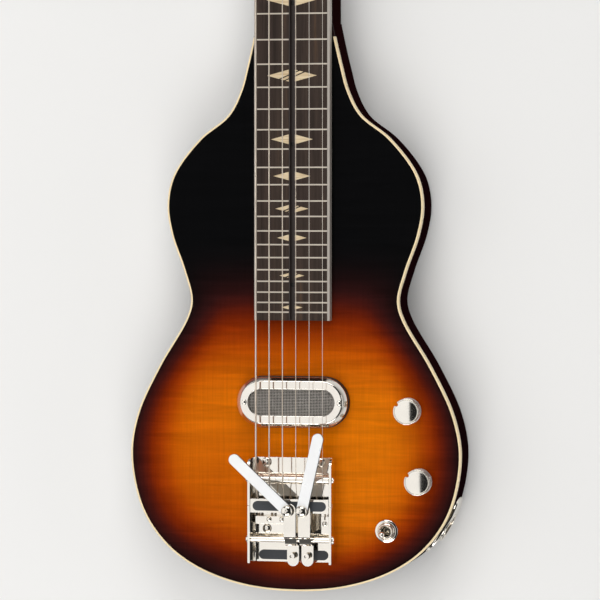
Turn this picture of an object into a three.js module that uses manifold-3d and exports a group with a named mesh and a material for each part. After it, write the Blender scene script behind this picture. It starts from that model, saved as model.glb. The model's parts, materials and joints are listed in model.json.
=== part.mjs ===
// Lap steel guitar with a string-bender bridge, lying on its back. Lengths are in millimetres.
// +Y runs to the headstock, +X to the thin strings and +Z up.
// The origin lies on the back, below the bridge end of the scale.
import * as THREE from 'three';
import { mergeVertices } from 'three/addons/utils/BufferGeometryUtils.js';
import Module from 'manifold-3d';

const wasm = await Module();
wasm.setup();

// Clearances
const seatGap = 0.1;
const fitGap = 0.3;
const cutOverrun = 2;

// Steps of large round ends, in each quarter turn
const roundSegments = 7;
const curveSteps = 4;
const rollerBends = 3;
const slotCurveSteps = 6;
const hexSides = 6;
const screwSides = 10;
const rodSides = 12;
const boreSides = 14;
const turnedSides = 16;
const domeSides = 18;
const socketSides = 20;
const nutSides = 24;
const washerSides = 28;

// Scale and strings, thick to thin from the bass side
const scaleLength = 635;
const fretCount = 27;
const notesPerOctave = 12;
const stringSpacing = 11.1;
const stringDiameters = [1.4, 1.1, 0.85, 0.6, 0.44, 0.38];
const stringClearance = 19.4;
const stringSides = 5;
const windTurns = 2;
const windSteps = 14;
const windGap = 0.45;
const ballRadius = 1.8;
const ballLength = 3.4;
const ballSides = 10;

// Body
const bodyTail = 96.7;
const bodyLength = 467.7;
const bodyDepth = 45;
const lowerBoutWidth = 277.2;
const waistWidth = 174.4;
const upperBoutWidth = 214.6;
const backEdgeRadius = 5;
const backEdgeSteps = 2;
const outlineSteps = 120;
const topThickness = 6.5;
const bodyBindingWidth = 1.5;

// Neck, fingerboard and headstock
const neckWidth = 63;
const neckEdgeRadius = 8;
const tenonWidth = 42;
const tenonThickness = 24;
const tenonLength = 70;
const tenonHeight = 8;
const boardEnd = 126.7;
const boardThickness = 9;
const boardBindingWidth = 2;
const railWidth = 5;
const railDepth = 5.4;
const railMouth = 3.4;
const railSlot = 4.2;
const railLip = 0.7;
const railFloor = 1;
const railInset = 7;
const railScrewStart = 29.1;
const railScrewEnd = 11.4;
const railScrewCount = 5;
const railScrewRadius = 1.6;
const railScrewHead = 0.8;
const fretLineWidth = 1.2;
const fretLineDepth = 1.4;
const inlayDepth = 1.2;
const inlayHalfWidthLimit = 21.5;
const inlaySpacingShare = 1.1;
const inlaySlimShare = 0.268;
const inlaySplitWidth = 0.9;
const inlaySplitShare = 0.27;
const inlaySplitAngle = 23;
const plainInlayFrets = [3, 5, 7, 9, 15, 17, 21, 27];
const splitInlayFrets = [12, 19, 24];
const nutThickness = 5;
const nutLip = 0.9;
const headLength = 168;
const headThickness = 18;
const headSpread = 88;
const headTipWidth = 74;
const headCornerRadius = 12;
const headShoulder = 24;

// Sliding capo, parked in front of the nut
const capoLength = 13;
const capoWidth = 60;
const capoNutSpace = 9;
const capoEdgeRadius = 2.5;
const capoFootThickness = 2.2;
const capoClampThickness = 5;
const capoClampLift = 1.6;
const capoScrewRadius = 1.5;
const capoScrewSeat = 5;
const capoHeadRadius = 7;
const capoHeadThickness = 6;
const capoHeadRibs = 16;
const capoRibDepth = 0.6;

// Tuners
const tunersPerSide = 3;
const tunerFirst = 40;
const tunerPitch = 40;
const tunerSideFirst = 31;
const tunerSideShift = 3;
const postRadius = 3;
const postHeight = 15;
const postCapHeight = 2.2;
const postCapFlare = 0.7;
const housingLength = 22;
const housingWidth = 19;
const housingHeight = 12;
const housingOffset = 1;
const tunerPlateThickness = 1.2;
const tunerPlateMargin = 4;
const wormOffset = 6.5;
const collarRadius = 3.6;
const collarLength = 4;
const buttonShaftRadius = 1.8;
const buttonShaftLength = 6;
const buttonWidth = 19;
const buttonLength = 14;
const buttonThickness = 6;
const buttonEdge = 1.6;

// Pickup
const pickupPlace = 59.5;
const pickupLength = 95;
const pickupWidth = 42.8;
const pickupFlange = 1.6;
const pickupHeight = 12;
const pickupTopLength = 86;
const pickupTopWidth = 36;
const pickupEdge = 1.8;
const pickupWall = 2;
const windowLength = 72.4;
const windowWidth = 21.8;
const meshPitch = 5.9;
const meshWire = 0.9;
const meshLap = meshWire / 2;
const meshRoom = 1.8;
const coilHeight = 22;
const pocketDepth = 20;

// Controls
const volumeInset = 42.6;
const volumeY = 53.5;
const toneInset = 33.6;
const toneY = -4;
const toggleInset = 61.2;
const toggleY = -45.5;
const cavityRadius = 17;
const coverLedge = 4;
const coverThickness = 2;
const coverInset = 0.4;
const knobRadius = 10.8;
const knobHeight = 15;
const knobSides = 24;
const knobEdge = 0.8;
const knobRingOuter = 9.4;
const knobRingPitch = 0.75;
const knobRingDepth = 0.4;
const knobRingCount = 3;
const knobCrown = 0.5;
const knobCrownShare = 0.75;
const knobNotchWidth = 3.2;
const knobNotchDepth = 2.5;
const knobNotchAngle = 145;
const knobHollowRadius = 6.6;
const knobHollowDepth = 3.5;
const potRadius = 12;
const potHeight = 9;
const potBushingRadius = 4;
const potBushingRise = 2.6;
const potShaftRadius = 3;
const potShaftRise = 11;
const toggleBushingRadius = 5.8;
const toggleBoreRadius = 4.2;
const toggleWasherRadius = 9.5;
const toggleWasherThickness = 1.4;
const toggleNutRadius = 6.8;
const toggleNutRise = 4;
const toggleCanLength = 24;
const toggleCanWidth = 15;
const toggleCanHeight = 24;
const togglePivotDepth = 3;
const toggleBallRadius = 3.6;
const toggleBallShare = 0.8;
const toggleSteps = 5;
const toggleStemRadius = 1.2;
const toggleTipRadius = 2.7;
const toggleReach = 17;
const toggleLean = 12;
const toggleHeading = 225;
const wireBoreRadius = 4;

// Jack
const jackPlace = -43;
const jackPlateLength = 54;
const jackPlateWidth = 32;
const jackPlateThickness = 2;
const jackCupRadius = 12.5;
const jackCupDepth = 7;
const jackCupWall = 1.4;
const jackSocketRadius = 5.2;
const jackBoreRadius = 3.25;
const jackSocketLength = 15;
const jackNutRadius = 7.4;
const jackNutThickness = 2.4;

// Bridge base
const bridgeFront = 13.9;
const bridgeRear = 72.1;
const bridgeWidth = 70;
const bridgeHeight = 19.5;
const bridgeWall = 2;
const bridgeBendRadius = 4;
const bridgeCornerRadius = 7;

// Saddle roller and bender axle
const rollerPlace = -3.3;
const rollerRadius = 3.5;
const rollerWall = 1.7;
const rollerGroove = 0.5;
const rollerSides = 12;
const axleHeadRise = 2;
const axleHeadFlare = 1.1;
const benderPlace = -52.4;
const benderHeight = 15;
const benderAxleRadius = 2.5;

// Cross bar and stop pads
const crossBarPlace = -24.8;
const crossBarWidth = 11.2;
const crossBarTop = 19.4;
const crossBarThickness = 3.7;
const crossBarPinRadius = 2;
const padThickness = 1;
const upperPadLength = 61;
const upperPadWidth = 7.8;
const lowerPadPlace = -66.4;
const lowerPadLength = 58;
const lowerPadWidth = 7.8;

// Bender arms and palm levers
const armPlaces = [1.5, 13.6];
const armStrings = [3, 4];
const armWidth = 10;
const armPlate = 3;
const armTop = 25;
const armFront = 22.3;
const armRear = 74.7;
const armTailTop = 11.5;
const armBoss = 2.6;
const armBossFrontAngle = 120;
const armBossRearAngle = 210;
const armLegThickness = 3;
const armLegBottom = 2.9;
const armLegOffset = 2.9;
const hookPlace = -51.6;
const hookHeight = 4.5;
const adjusterPlace = -66;
const adjusterRadius = 2;
const adjusterRise = 3.4;
const adjusterHeadRadius = 2.7;
const adjusterHeadHeight = 3.6;
const adjusterSocketRadius = 1.3;
const adjusterSocketDepth = 1.8;
const leverPivot = -28;
const leverPivotShift = 1.6;
const leverReach = 60.3;
const leverWidth = 9.5;
const leverThickness = 3;
const leverAngles = [47, -12.8];
const domeRadius = 4.9;
const domeShares = [[0.94, 0.45], [0.7, 0.8], [0.36, 1]];
const domeHeight = 3.2;
const domeShankRadius = 1.9;
const domeShankDepth = 2.2;

// Fixed string anchors
const anchorPlace = -36.5;
const anchorHeight = 9.5;
const anchorWidth = 6.4;
const anchorLength = 8;
const anchorWall = 2.6;
const anchorLine = 6.2;
const anchorScrewRadius = 2;
const anchorScrewHead = 1;

// Places that follow from the sizes
const tailY = -bodyTail;
const jointY = tailY + bodyLength;
const shellTop = bodyDepth - topThickness;
const boardTop = bodyDepth + boardThickness;
const stringRest = bodyDepth + stringClearance;
const neckHalf = neckWidth / 2;
const boardHalf = neckHalf - boardBindingWidth;
const nutBack = scaleLength + nutThickness;
const headEnd = scaleLength + headLength;
const headBottom = bodyDepth - headThickness;
const bridgeHalf = bridgeWidth / 2;
const bridgeFloor = bodyDepth + seatGap + bridgeWall;
const rollerZ = stringRest - rollerRadius;
const benderZ = bodyDepth + benderHeight;
const volumePlace = new THREE.Vector2(lowerBoutWidth / 2 - volumeInset, volumeY);
const tonePlace = new THREE.Vector2(lowerBoutWidth / 2 - toneInset, toneY);
const togglePlace = new THREE.Vector2(lowerBoutWidth / 2 - toggleInset, toggleY);

const fretY = (fret) => scaleLength * 2 ** (-fret / notesPerOctave);
const stringX = (index) => (index - (stringDiameters.length - 1) / 2) * stringSpacing;
const degrees = THREE.MathUtils.degToRad;

// Finishes
const finish = (color, roughness, metalness) =>
  new THREE.MeshStandardMaterial({ color, roughness, metalness });
const darkLacquer = finish(0x1a0708, 0.18, 0);
const amberLacquer = finish(0xb4600f, 0.18, 0);
const creamBinding = finish(0xe3cfae, 0.35, 0);
const rosewood = finish(0x443731, 0.5, 0);
const darkAlloy = finish(0x26222a, 0.4, 0.6);
const nickel = finish(0xdcd7cf, 0.12, 1);
const satinSteel = finish(0xd9d9d7, 0.3, 1);
const meshSteel = finish(0x55534f, 0.45, 0.8);
const blackPlastic = finish(0x161616, 0.5, 0);
const blackRubber = finish(0x2b2b2c, 0.85, 0);
const plainSteel = finish(0xc9c3b8, 0.25, 1);
const woundSteel = finish(0xb9aa98, 0.35, 1);

const guitar = new THREE.Group();

function place(name, geometry, material, parent = guitar) {
  const mesh = new THREE.Mesh(geometry, material);
  mesh.name = name;
  parent.add(mesh);
  return mesh;
}

// Solid operations
function toSolid(geometry) {
  const bare = geometry.clone();
  bare.deleteAttribute('normal');
  bare.deleteAttribute('uv');
  const merged = mergeVertices(bare);
  return new wasm.Manifold(new wasm.Mesh({
    numProp: 3,
    vertProperties: merged.attributes.position.array,
    triVerts: Uint32Array.from(merged.index.array),
  }));
}

function toGeometry(solid) {
  const { vertProperties, triVerts } = solid.getMesh();
  const geometry = new THREE.BufferGeometry();
  geometry.setAttribute('position', new THREE.BufferAttribute(vertProperties, 3));
  geometry.setIndex(new THREE.BufferAttribute(triVerts, 1));
  geometry.computeVertexNormals();
  return geometry;
}

const join = (...parts) =>
  toGeometry(parts.map(toSolid).reduce((whole, part) => whole.add(part)));
const cut = (base, ...tools) =>
  toGeometry(tools.map(toSolid).reduce((rest, tool) => rest.subtract(tool), toSolid(base)));
const common = (first, second) => toGeometry(toSolid(first).intersect(toSolid(second)));

// Forms
const extrude = (shape, low, high, curveSegments = curveSteps) =>
  new THREE.ExtrudeGeometry(shape, { depth: high - low, bevelEnabled: false, curveSegments })
    .translate(0, 0, low);

function extrudeAlongY(shape, low, high) {
  return extrude(shape, 0, high - low).rotateX(Math.PI / 2).translate(0, high, 0);
}

function extrudeAlongX(shape, low, high) {
  const turn = new THREE.Matrix4().makeBasis(
    new THREE.Vector3(0, 1, 0),
    new THREE.Vector3(0, 0, 1),
    new THREE.Vector3(1, 0, 0),
  );
  return extrude(shape, low, high).applyMatrix4(turn);
}

function block(x0, x1, y0, y1, z0, z1) {
  return new THREE.BoxGeometry(x1 - x0, y1 - y0, z1 - z0)
    .translate((x0 + x1) / 2, (y0 + y1) / 2, (z0 + z1) / 2);
}

function disc(radius, low, high, x = 0, y = 0, sides = 16) {
  return new THREE.CylinderGeometry(radius, radius, high - low, sides)
    .rotateX(Math.PI / 2)
    .translate(x, y, (low + high) / 2);
}

function rod(radius, x0, x1, y, z, sides = 12) {
  return new THREE.CylinderGeometry(radius, radius, x1 - x0, sides)
    .rotateZ(Math.PI / 2)
    .translate((x0 + x1) / 2, y, z);
}

// A turned piece from [radius, height] pairs, standing on +Z
function turned(profile, sides = 20) {
  const points = profile.map(([radius, height]) => new THREE.Vector2(radius, height));
  return new THREE.LatheGeometry(points, sides).rotateX(Math.PI / 2);
}

const turnedAlongX = (profile, sides) => turned(profile, sides).rotateY(Math.PI / 2);

function polygon(points) {
  return new THREE.Shape(points.map(([x, y]) => new THREE.Vector2(x, y)));
}

function obround(length, width) {
  const radius = width / 2;
  const reach = length / 2 - radius;
  const shape = new THREE.Shape();
  shape.moveTo(-reach, -radius);
  shape.lineTo(reach, -radius);
  shape.absarc(reach, 0, radius, -Math.PI / 2, Math.PI / 2);
  shape.lineTo(-reach, radius);
  shape.absarc(-reach, 0, radius, Math.PI / 2, Math.PI * 1.5);
  return shape;
}

// A rounded bar between two places on the plan
function roundedBar(from, to, radius, low, high) {
  const middle = from.clone().add(to).divideScalar(2);
  return extrude(obround(from.distanceTo(to) + radius * 2, radius * 2), low, high, slotCurveSteps)
    .rotateZ(to.clone().sub(from).angle())
    .translate(middle.x, middle.y, 0);
}

// A closed body through rings of equal point counts, lowest first, each ring anticlockwise
function ringStack(rings) {
  const count = rings[0].length;
  const positions = rings.flat().flatMap((point) => [point.x, point.y, point.z]);
  const triangles = [];
  for (let ring = 0; ring < rings.length - 1; ring += 1) {
    for (let step = 0; step < count; step += 1) {
      const here = ring * count + step;
      const next = ring * count + ((step + 1) % count);
      triangles.push(here, next, next + count, here, next + count, here + count);
    }
  }
  const cap = (ring, offset, flip) => {
    THREE.ShapeUtils.triangulateShape(ring, []).forEach(([a, b, c]) => {
      triangles.push(a + offset, (flip ? c : b) + offset, (flip ? b : c) + offset);
    });
  };
  cap(rings[0], 0, true);
  cap(rings[rings.length - 1], (rings.length - 1) * count, false);
  const geometry = new THREE.BufferGeometry();
  geometry.setAttribute('position', new THREE.Float32BufferAttribute(positions, 3));
  geometry.setIndex(triangles);
  return geometry;
}

// An unbroken round wire through points, with flat ends
function wire(points, radius, sides) {
  const count = points.length;
  const positions = [];
  const triangles = [];
  let side = new THREE.Vector3(1, 0, 0);
  points.forEach((point, index) => {
    const before = points[Math.max(index - 1, 0)];
    const after = points[Math.min(index + 1, count - 1)];
    const along = after.clone().sub(before).normalize();
    side = side.clone().addScaledVector(along, -side.dot(along)).normalize();
    const other = along.clone().cross(side);
    for (let step = 0; step < sides; step += 1) {
      const angle = (step / sides) * Math.PI * 2;
      const edge = point.clone()
        .addScaledVector(side, radius * Math.cos(angle))
        .addScaledVector(other, radius * Math.sin(angle));
      positions.push(edge.x, edge.y, edge.z);
    }
  });
  for (let ring = 0; ring < count - 1; ring += 1) {
    for (let step = 0; step < sides; step += 1) {
      const here = ring * sides + step;
      const next = ring * sides + ((step + 1) % sides);
      triangles.push(here, next, next + sides, here, next + sides, here + sides);
    }
  }
  for (let step = 1; step < sides - 1; step += 1) {
    const last = (count - 1) * sides;
    triangles.push(0, step + 1, step, last, last + step, last + step + 1);
  }
  const geometry = new THREE.BufferGeometry();
  geometry.setAttribute('position', new THREE.Float32BufferAttribute(positions, 3));
  geometry.setIndex(triangles);
  return geometry;
}

// Body outline: shares of the body's length from the tail, and of the half width that rules there
const lowerHalf = lowerBoutWidth / 2;
const waistHalf = waistWidth / 2;
const upperHalf = upperBoutWidth / 2;
const outlineShares = [
  [0.0086, 0.314, lowerHalf],
  [0.0367, 0.591, lowerHalf],
  [0.0791, 0.79, lowerHalf],
  [0.1422, 0.934, lowerHalf],
  [0.2372, 1, lowerHalf],
  [0.3109, 0.959, lowerHalf],
  [0.3951, 0.826, lowerHalf],
  [0.4796, 1.045, waistHalf],
  [0.5122, 1, waistHalf],
  [0.5638, 1.069, waistHalf],
  [0.6272, 0.966, upperHalf],
  [0.6798, 1, upperHalf],
  [0.7325, 0.951, upperHalf],
  [0.7959, 0.744, upperHalf],
  [0.838, 0.518, upperHalf],
  [0.8801, 1.432, neckHalf],
  [0.9222, 1.26, neckHalf],
  [0.9591, 1.13, neckHalf],
  [1, 1, neckHalf],
];
const trebleSide = outlineShares.map(([along, across, half]) =>
  new THREE.Vector3(half * across, tailY + bodyLength * along, 0));
const bassSide = trebleSide.map((point) => new THREE.Vector3(-point.x, point.y, 0)).reverse();
const outline = new THREE.CatmullRomCurve3(
  [...bassSide, new THREE.Vector3(0, tailY, 0), ...trebleSide],
  false,
  'centripetal',
);
const outlinePoints = outline.getSpacedPoints(outlineSteps);

// The outline drawn in by a distance, open at the neck joint
function insetOutline(inset, height = 0) {
  return outlinePoints.map((point, index) => {
    const atJoint = index === 0 || index === outlineSteps;
    const tangent = outline.getTangentAt(index / outlineSteps);
    const y = point.y + tangent.x * inset;
    return new THREE.Vector3(
      point.x - tangent.y * inset,
      atJoint ? jointY : Math.min(y, jointY - seatGap),
      height,
    );
  });
}

// The place and outward direction on the treble side at a given y
function sideFrame(y) {
  const index = outlinePoints.findLastIndex((point) => point.y < y);
  const before = outlinePoints[index];
  const after = outlinePoints[index + 1];
  const share = (y - before.y) / (after.y - before.y);
  const point = before.clone().lerp(after, share);
  const along = after.clone().sub(before).normalize();
  return { point, out: new THREE.Vector3(along.y, -along.x, 0) };
}

const jack = sideFrame(jackPlace);
const jackZ = shellTop / 2;

// Stands a piece made along +Z on the side of the body at the jack
function atJack(geometry) {
  const upright = new THREE.Vector3(0, 0, 1);
  const across = upright.clone().cross(jack.out);
  return geometry
    .applyMatrix4(new THREE.Matrix4().makeBasis(across, upright, jack.out))
    .translate(jack.point.x, jack.point.y, jackZ);
}

const cavity = (radius, low, high) => join(
  roundedBar(volumePlace, tonePlace, radius, low, high),
  roundedBar(tonePlace, togglePlace, radius, low, high),
);

function bodyShell() {
  const rings = [];
  for (let step = 0; step <= backEdgeSteps; step += 1) {
    const angle = (step / backEdgeSteps) * (Math.PI / 2);
    rings.push(insetOutline(
      backEdgeRadius * (1 - Math.sin(angle)),
      backEdgeRadius * (1 - Math.cos(angle)),
    ));
  }
  rings.push(insetOutline(0, shellTop));
  const mortise = block(
    -tenonWidth / 2 - fitGap,
    tenonWidth / 2 + fitGap,
    jointY - tenonLength - fitGap,
    jointY + cutOverrun,
    tenonHeight - fitGap,
    tenonHeight + tenonThickness + fitGap,
  );
  const pocket = extrude(
    obround(pickupTopLength - pickupWall, pickupTopWidth - pickupWall),
    shellTop - pocketDepth + topThickness,
    shellTop + cutOverrun,
  ).translate(0, pickupPlace, 0);
  const channel = rod(
    wireBoreRadius,
    pickupTopLength / 2 - pickupTopWidth / 2,
    volumePlace.x,
    volumePlace.y,
    shellTop - wireBoreRadius * 2,
    12,
  );
  const jackBore = atJack(disc(
    jackCupRadius + fitGap,
    -cavityRadius - jackCupDepth - jackSocketLength,
    cutOverrun,
  ));
  return cut(
    ringStack(rings),
    mortise,
    pocket,
    channel,
    cavity(cavityRadius, coverThickness, shellTop + cutOverrun),
    cavity(cavityRadius + coverLedge, -cutOverrun, coverThickness + coverInset + seatGap),
    jackBore,
  );
}

function bodyTop() {
  const low = shellTop + seatGap;
  const inset = bodyBindingWidth + seatGap;
  const board = ringStack([insetOutline(inset, low), insetOutline(inset, bodyDepth)]);
  const opening = extrude(
    obround(pickupTopLength - pickupWall, pickupTopWidth - pickupWall),
    low - cutOverrun,
    bodyDepth + cutOverrun,
  ).translate(0, pickupPlace, 0);
  const hole = (radius, { x, y }) =>
    disc(radius + fitGap, low - cutOverrun, bodyDepth + cutOverrun, x, y);
  return cut(
    board,
    opening,
    hole(potBushingRadius, volumePlace),
    hole(potBushingRadius, tonePlace),
    hole(toggleBushingRadius, togglePlace),
  );
}

function bodyBinding() {
  const outer = insetOutline(0);
  const inner = insetOutline(bodyBindingWidth).reverse();
  const shape = new THREE.Shape([...outer, ...inner].map(({ x, y }) => new THREE.Vector2(x, y)));
  return extrude(shape, shellTop + seatGap, bodyDepth);
}

place('body_shell', bodyShell(), darkLacquer);
place('body_top', bodyTop(), amberLacquer);
place('body_binding', bodyBinding(), creamBinding);

// Neck, headstock and fingerboard
const tunerPlaces = [];
for (const side of [-1, 1]) {
  for (let row = 0; row < tunersPerSide; row += 1) {
    tunerPlaces.push({
      side,
      x: side * (tunerSideFirst - row * tunerSideShift),
      y: nutBack + tunerFirst + row * tunerPitch,
    });
  }
}

function neck() {
  const section = new THREE.Shape();
  section.moveTo(-neckHalf, bodyDepth);
  section.lineTo(-neckHalf, neckEdgeRadius);
  section.absarc(-neckHalf + neckEdgeRadius, neckEdgeRadius, neckEdgeRadius, Math.PI, Math.PI * 1.5);
  section.lineTo(neckHalf - neckEdgeRadius, 0);
  section.absarc(neckHalf - neckEdgeRadius, neckEdgeRadius, neckEdgeRadius, -Math.PI / 2, 0);
  section.lineTo(neckHalf, bodyDepth);
  const shaft = extrudeAlongY(section, jointY + seatGap, nutBack);
  const tenon = block(
    -tenonWidth / 2,
    tenonWidth / 2,
    jointY - tenonLength,
    jointY + cutOverrun,
    tenonHeight,
    tenonHeight + tenonThickness,
  );

  const plan = new THREE.Shape();
  const spreadHalf = headSpread / 2;
  const tipHalf = headTipWidth / 2;
  const spreadY = nutBack + headShoulder;
  plan.moveTo(-neckHalf, nutBack - cutOverrun);
  plan.lineTo(neckHalf, nutBack - cutOverrun);
  plan.bezierCurveTo(neckHalf, spreadY - headShoulder / 2, spreadHalf, nutBack + headShoulder / 2,
    spreadHalf, spreadY);
  plan.lineTo(tipHalf, headEnd - headCornerRadius);
  plan.quadraticCurveTo(tipHalf, headEnd, tipHalf - headCornerRadius, headEnd);
  plan.lineTo(-tipHalf + headCornerRadius, headEnd);
  plan.quadraticCurveTo(-tipHalf, headEnd, -tipHalf, headEnd - headCornerRadius);
  plan.lineTo(-spreadHalf, spreadY);
  plan.bezierCurveTo(-spreadHalf, nutBack + headShoulder / 2, -neckHalf, spreadY - headShoulder / 2,
    -neckHalf, nutBack - cutOverrun);

  const profile = new THREE.Shape();
  profile.moveTo(nutBack - cutOverrun, bodyDepth);
  profile.lineTo(nutBack - cutOverrun, neckEdgeRadius);
  profile.lineTo(nutBack, neckEdgeRadius);
  profile.bezierCurveTo(nutBack + headShoulder / 2, neckEdgeRadius, nutBack + headShoulder / 2, headBottom,
    spreadY, headBottom);
  profile.lineTo(headEnd + cutOverrun, headBottom);
  profile.lineTo(headEnd + cutOverrun, bodyDepth);
  const head = common(
    extrude(plan, -cutOverrun, bodyDepth + cutOverrun),
    extrudeAlongX(profile, -headSpread, headSpread),
  );
  const holes = tunerPlaces.map(({ x, y }) => disc(
    postRadius + fitGap,
    headBottom - cutOverrun,
    bodyDepth + cutOverrun,
    x,
    y,
    12,
  ));
  return cut(join(shaft, tenon, head), ...holes);
}

const inlays = [
  ...plainInlayFrets.map((fret) => ({ fret, split: false })),
  ...splitInlayFrets.map((fret) => ({ fret, split: true })),
].map(({ fret, split }) => {
  const spacing = fretY(fret - 1) - fretY(fret);
  const halfWidth = Math.min(inlayHalfWidthLimit, spacing * inlaySpacingShare);
  return {
    split,
    halfWidth,
    halfHeight: halfWidth * inlaySlimShare,
    y: (fretY(fret - 1) + fretY(fret)) / 2,
  };
});

// A diamond pocket; a split one keeps two parallel slanted bars of wood
function inlayPocket({ halfWidth, halfHeight, split, y }) {
  const low = boardTop - inlayDepth;
  const high = boardTop + cutOverrun;
  const whole = extrude(polygon([
    [-halfWidth, 0],
    [0, -halfHeight],
    [halfWidth, 0],
    [0, halfHeight],
  ]), low, high);
  const bars = [-1, 1].map((side) => block(-halfWidth, halfWidth, -inlaySplitWidth / 2,
    inlaySplitWidth / 2, low - cutOverrun, high + cutOverrun)
    .rotateZ(degrees(inlaySplitAngle))
    .translate(0, side * halfHeight * inlaySplitShare, 0));
  return (split ? cut(whole, ...bars) : whole).translate(0, y, 0);
}

function fingerboard() {
  const half = boardHalf - seatGap;
  const core = block(-half, half, boardEnd, scaleLength, bodyDepth + seatGap, boardTop);
  const grooveHalf = railWidth / 2 + seatGap;
  const groove = block(-grooveHalf, grooveHalf, boardEnd - cutOverrun, scaleLength + cutOverrun,
    boardTop - railDepth - seatGap, boardTop + cutOverrun);
  const slots = [];
  for (let fret = 1; fret <= fretCount; fret += 1) {
    slots.push(block(-neckHalf, neckHalf, fretY(fret) - fretLineWidth / 2,
      fretY(fret) + fretLineWidth / 2, boardTop - fretLineDepth, boardTop + cutOverrun));
  }
  return cut(core, groove, ...slots, ...inlays.map(inlayPocket));
}

function boardBinding(side) {
  return block(
    Math.min(side * boardHalf, side * neckHalf),
    Math.max(side * boardHalf, side * neckHalf),
    boardEnd,
    scaleLength,
    bodyDepth + seatGap,
    boardTop,
  );
}

const railScrewTop = boardTop - railDepth + railFloor + railScrewHead;

// Slotted rail, with the heads of the screws that hold it down
function capoRail() {
  const low = boardTop - railDepth;
  const half = railWidth / 2;
  const section = polygon([
    [-half, low],
    [half, low],
    [half, boardTop],
    [railMouth / 2, boardTop],
    [railMouth / 2, boardTop - railLip],
    [railSlot / 2, boardTop - railLip],
    [railSlot / 2, low + railFloor],
    [-railSlot / 2, low + railFloor],
    [-railSlot / 2, boardTop - railLip],
    [-railMouth / 2, boardTop - railLip],
    [-railMouth / 2, boardTop],
    [-half, boardTop],
  ]);
  const rail = extrudeAlongY(section, boardEnd, scaleLength - railInset);
  const first = boardEnd + railScrewStart;
  const pitch = (scaleLength - railInset - railScrewEnd - first) / (railScrewCount - 1);
  const heads = [];
  for (let index = 0; index < railScrewCount; index += 1) {
    heads.push(disc(railScrewRadius, low + railFloor / 2, railScrewTop, 0, first + index * pitch, screwSides));
  }
  return join(rail, ...heads);
}

function nut() {
  const base = block(-neckHalf, neckHalf, scaleLength + seatGap, nutBack, bodyDepth + seatGap,
    stringRest + nutLip);
  const slots = stringDiameters.map((diameter, index) => block(
    stringX(index) - diameter / 2 - seatGap,
    stringX(index) + diameter / 2 + seatGap,
    scaleLength - cutOverrun,
    nutBack + cutOverrun,
    stringRest,
    stringRest + nutLip + cutOverrun,
  ));
  return cut(base, ...slots);
}

place('neck', neck(), darkLacquer);
place('fingerboard', fingerboard(), rosewood);
place('board_binding_bass', boardBinding(-1), creamBinding);
place('board_binding_treble', boardBinding(1), creamBinding);
place('capo_rail', capoRail(), darkAlloy);
place('nut', nut(), creamBinding);

// Sliding capo: the carriage bears the strings from below, the clamp bar comes down on them
const capoBack = scaleLength - capoNutSpace;
const capoY = capoBack - capoLength / 2;
const capoClampLow = stringRest + stringDiameters[0] + capoClampLift;

function capoBar(low, high) {
  const half = capoLength / 2;
  const edge = Math.min(capoEdgeRadius, high - low);
  const section = new THREE.Shape();
  section.moveTo(-half, low);
  section.lineTo(half, low);
  section.lineTo(half, high - edge);
  section.quadraticCurveTo(half, high, half - edge, high);
  section.lineTo(-half + edge, high);
  section.quadraticCurveTo(-half, high, -half, high - edge);
  return extrudeAlongX(section, -capoWidth / 2, capoWidth / 2).translate(0, capoY, 0);
}

function capoCarriage() {
  const high = stringRest - fitGap;
  const bar = capoBar(boardTop + fitGap, high);
  const stem = block(-railMouth / 2 + fitGap, railMouth / 2 - fitGap, capoBack - capoLength,
    capoBack, railScrewTop + fitGap, boardTop + capoEdgeRadius);
  const foot = block(-railSlot / 2 + fitGap, railSlot / 2 - fitGap, capoBack - capoLength,
    capoBack, railScrewTop + fitGap, railScrewTop + fitGap + capoFootThickness);
  const seat = disc(capoScrewRadius + fitGap, high - capoScrewSeat, high + cutOverrun, 0, capoY, rodSides);
  return cut(join(bar, stem, foot), seat);
}

function capoClamp() {
  const bore = disc(capoScrewRadius + fitGap, capoClampLow - cutOverrun,
    capoClampLow + capoClampThickness + cutOverrun, 0, capoY, rodSides);
  return cut(capoBar(capoClampLow, capoClampLow + capoClampThickness), bore);
}

function capoThumbscrew() {
  const low = capoClampLow + capoClampThickness + fitGap;
  const rim = new THREE.Shape();
  for (let rib = 0; rib < capoHeadRibs * 2; rib += 1) {
    const radius = capoHeadRadius - (rib % 2) * capoRibDepth;
    const angle = (rib / (capoHeadRibs * 2)) * Math.PI * 2;
    const x = radius * Math.cos(angle);
    const y = radius * Math.sin(angle);
    if (rib === 0) {
      rim.moveTo(x, y);
    } else {
      rim.lineTo(x, y);
    }
  }
  const head = extrude(rim, low, low + capoHeadThickness).translate(0, capoY, 0);
  const shaft = disc(capoScrewRadius, stringRest - capoScrewSeat, low + cutOverrun, 0, capoY, rodSides);
  return join(head, shaft);
}

place('capo_carriage', capoCarriage(), nickel);
place('capo_clamp_bar', capoClamp(), nickel);
place('capo_thumbscrew', capoThumbscrew(), nickel);

// Tuners
const housingTop = headBottom - seatGap;
const wormZ = housingTop - housingHeight / 2;

function tunerHousing({ side, x, y }) {
  const outer = x + side * (housingWidth / 2 + housingOffset);
  const inner = outer - side * housingWidth;
  const box = block(Math.min(outer, inner), Math.max(outer, inner), y - housingLength / 2,
    y + housingLength / 2, housingTop - housingHeight, housingTop);
  const ends = [outer - side * cutOverrun, outer + side * collarLength];
  const collar = rod(collarRadius, Math.min(...ends), Math.max(...ends), y - wormOffset, wormZ, rodSides);
  return join(box, collar);
}

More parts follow.
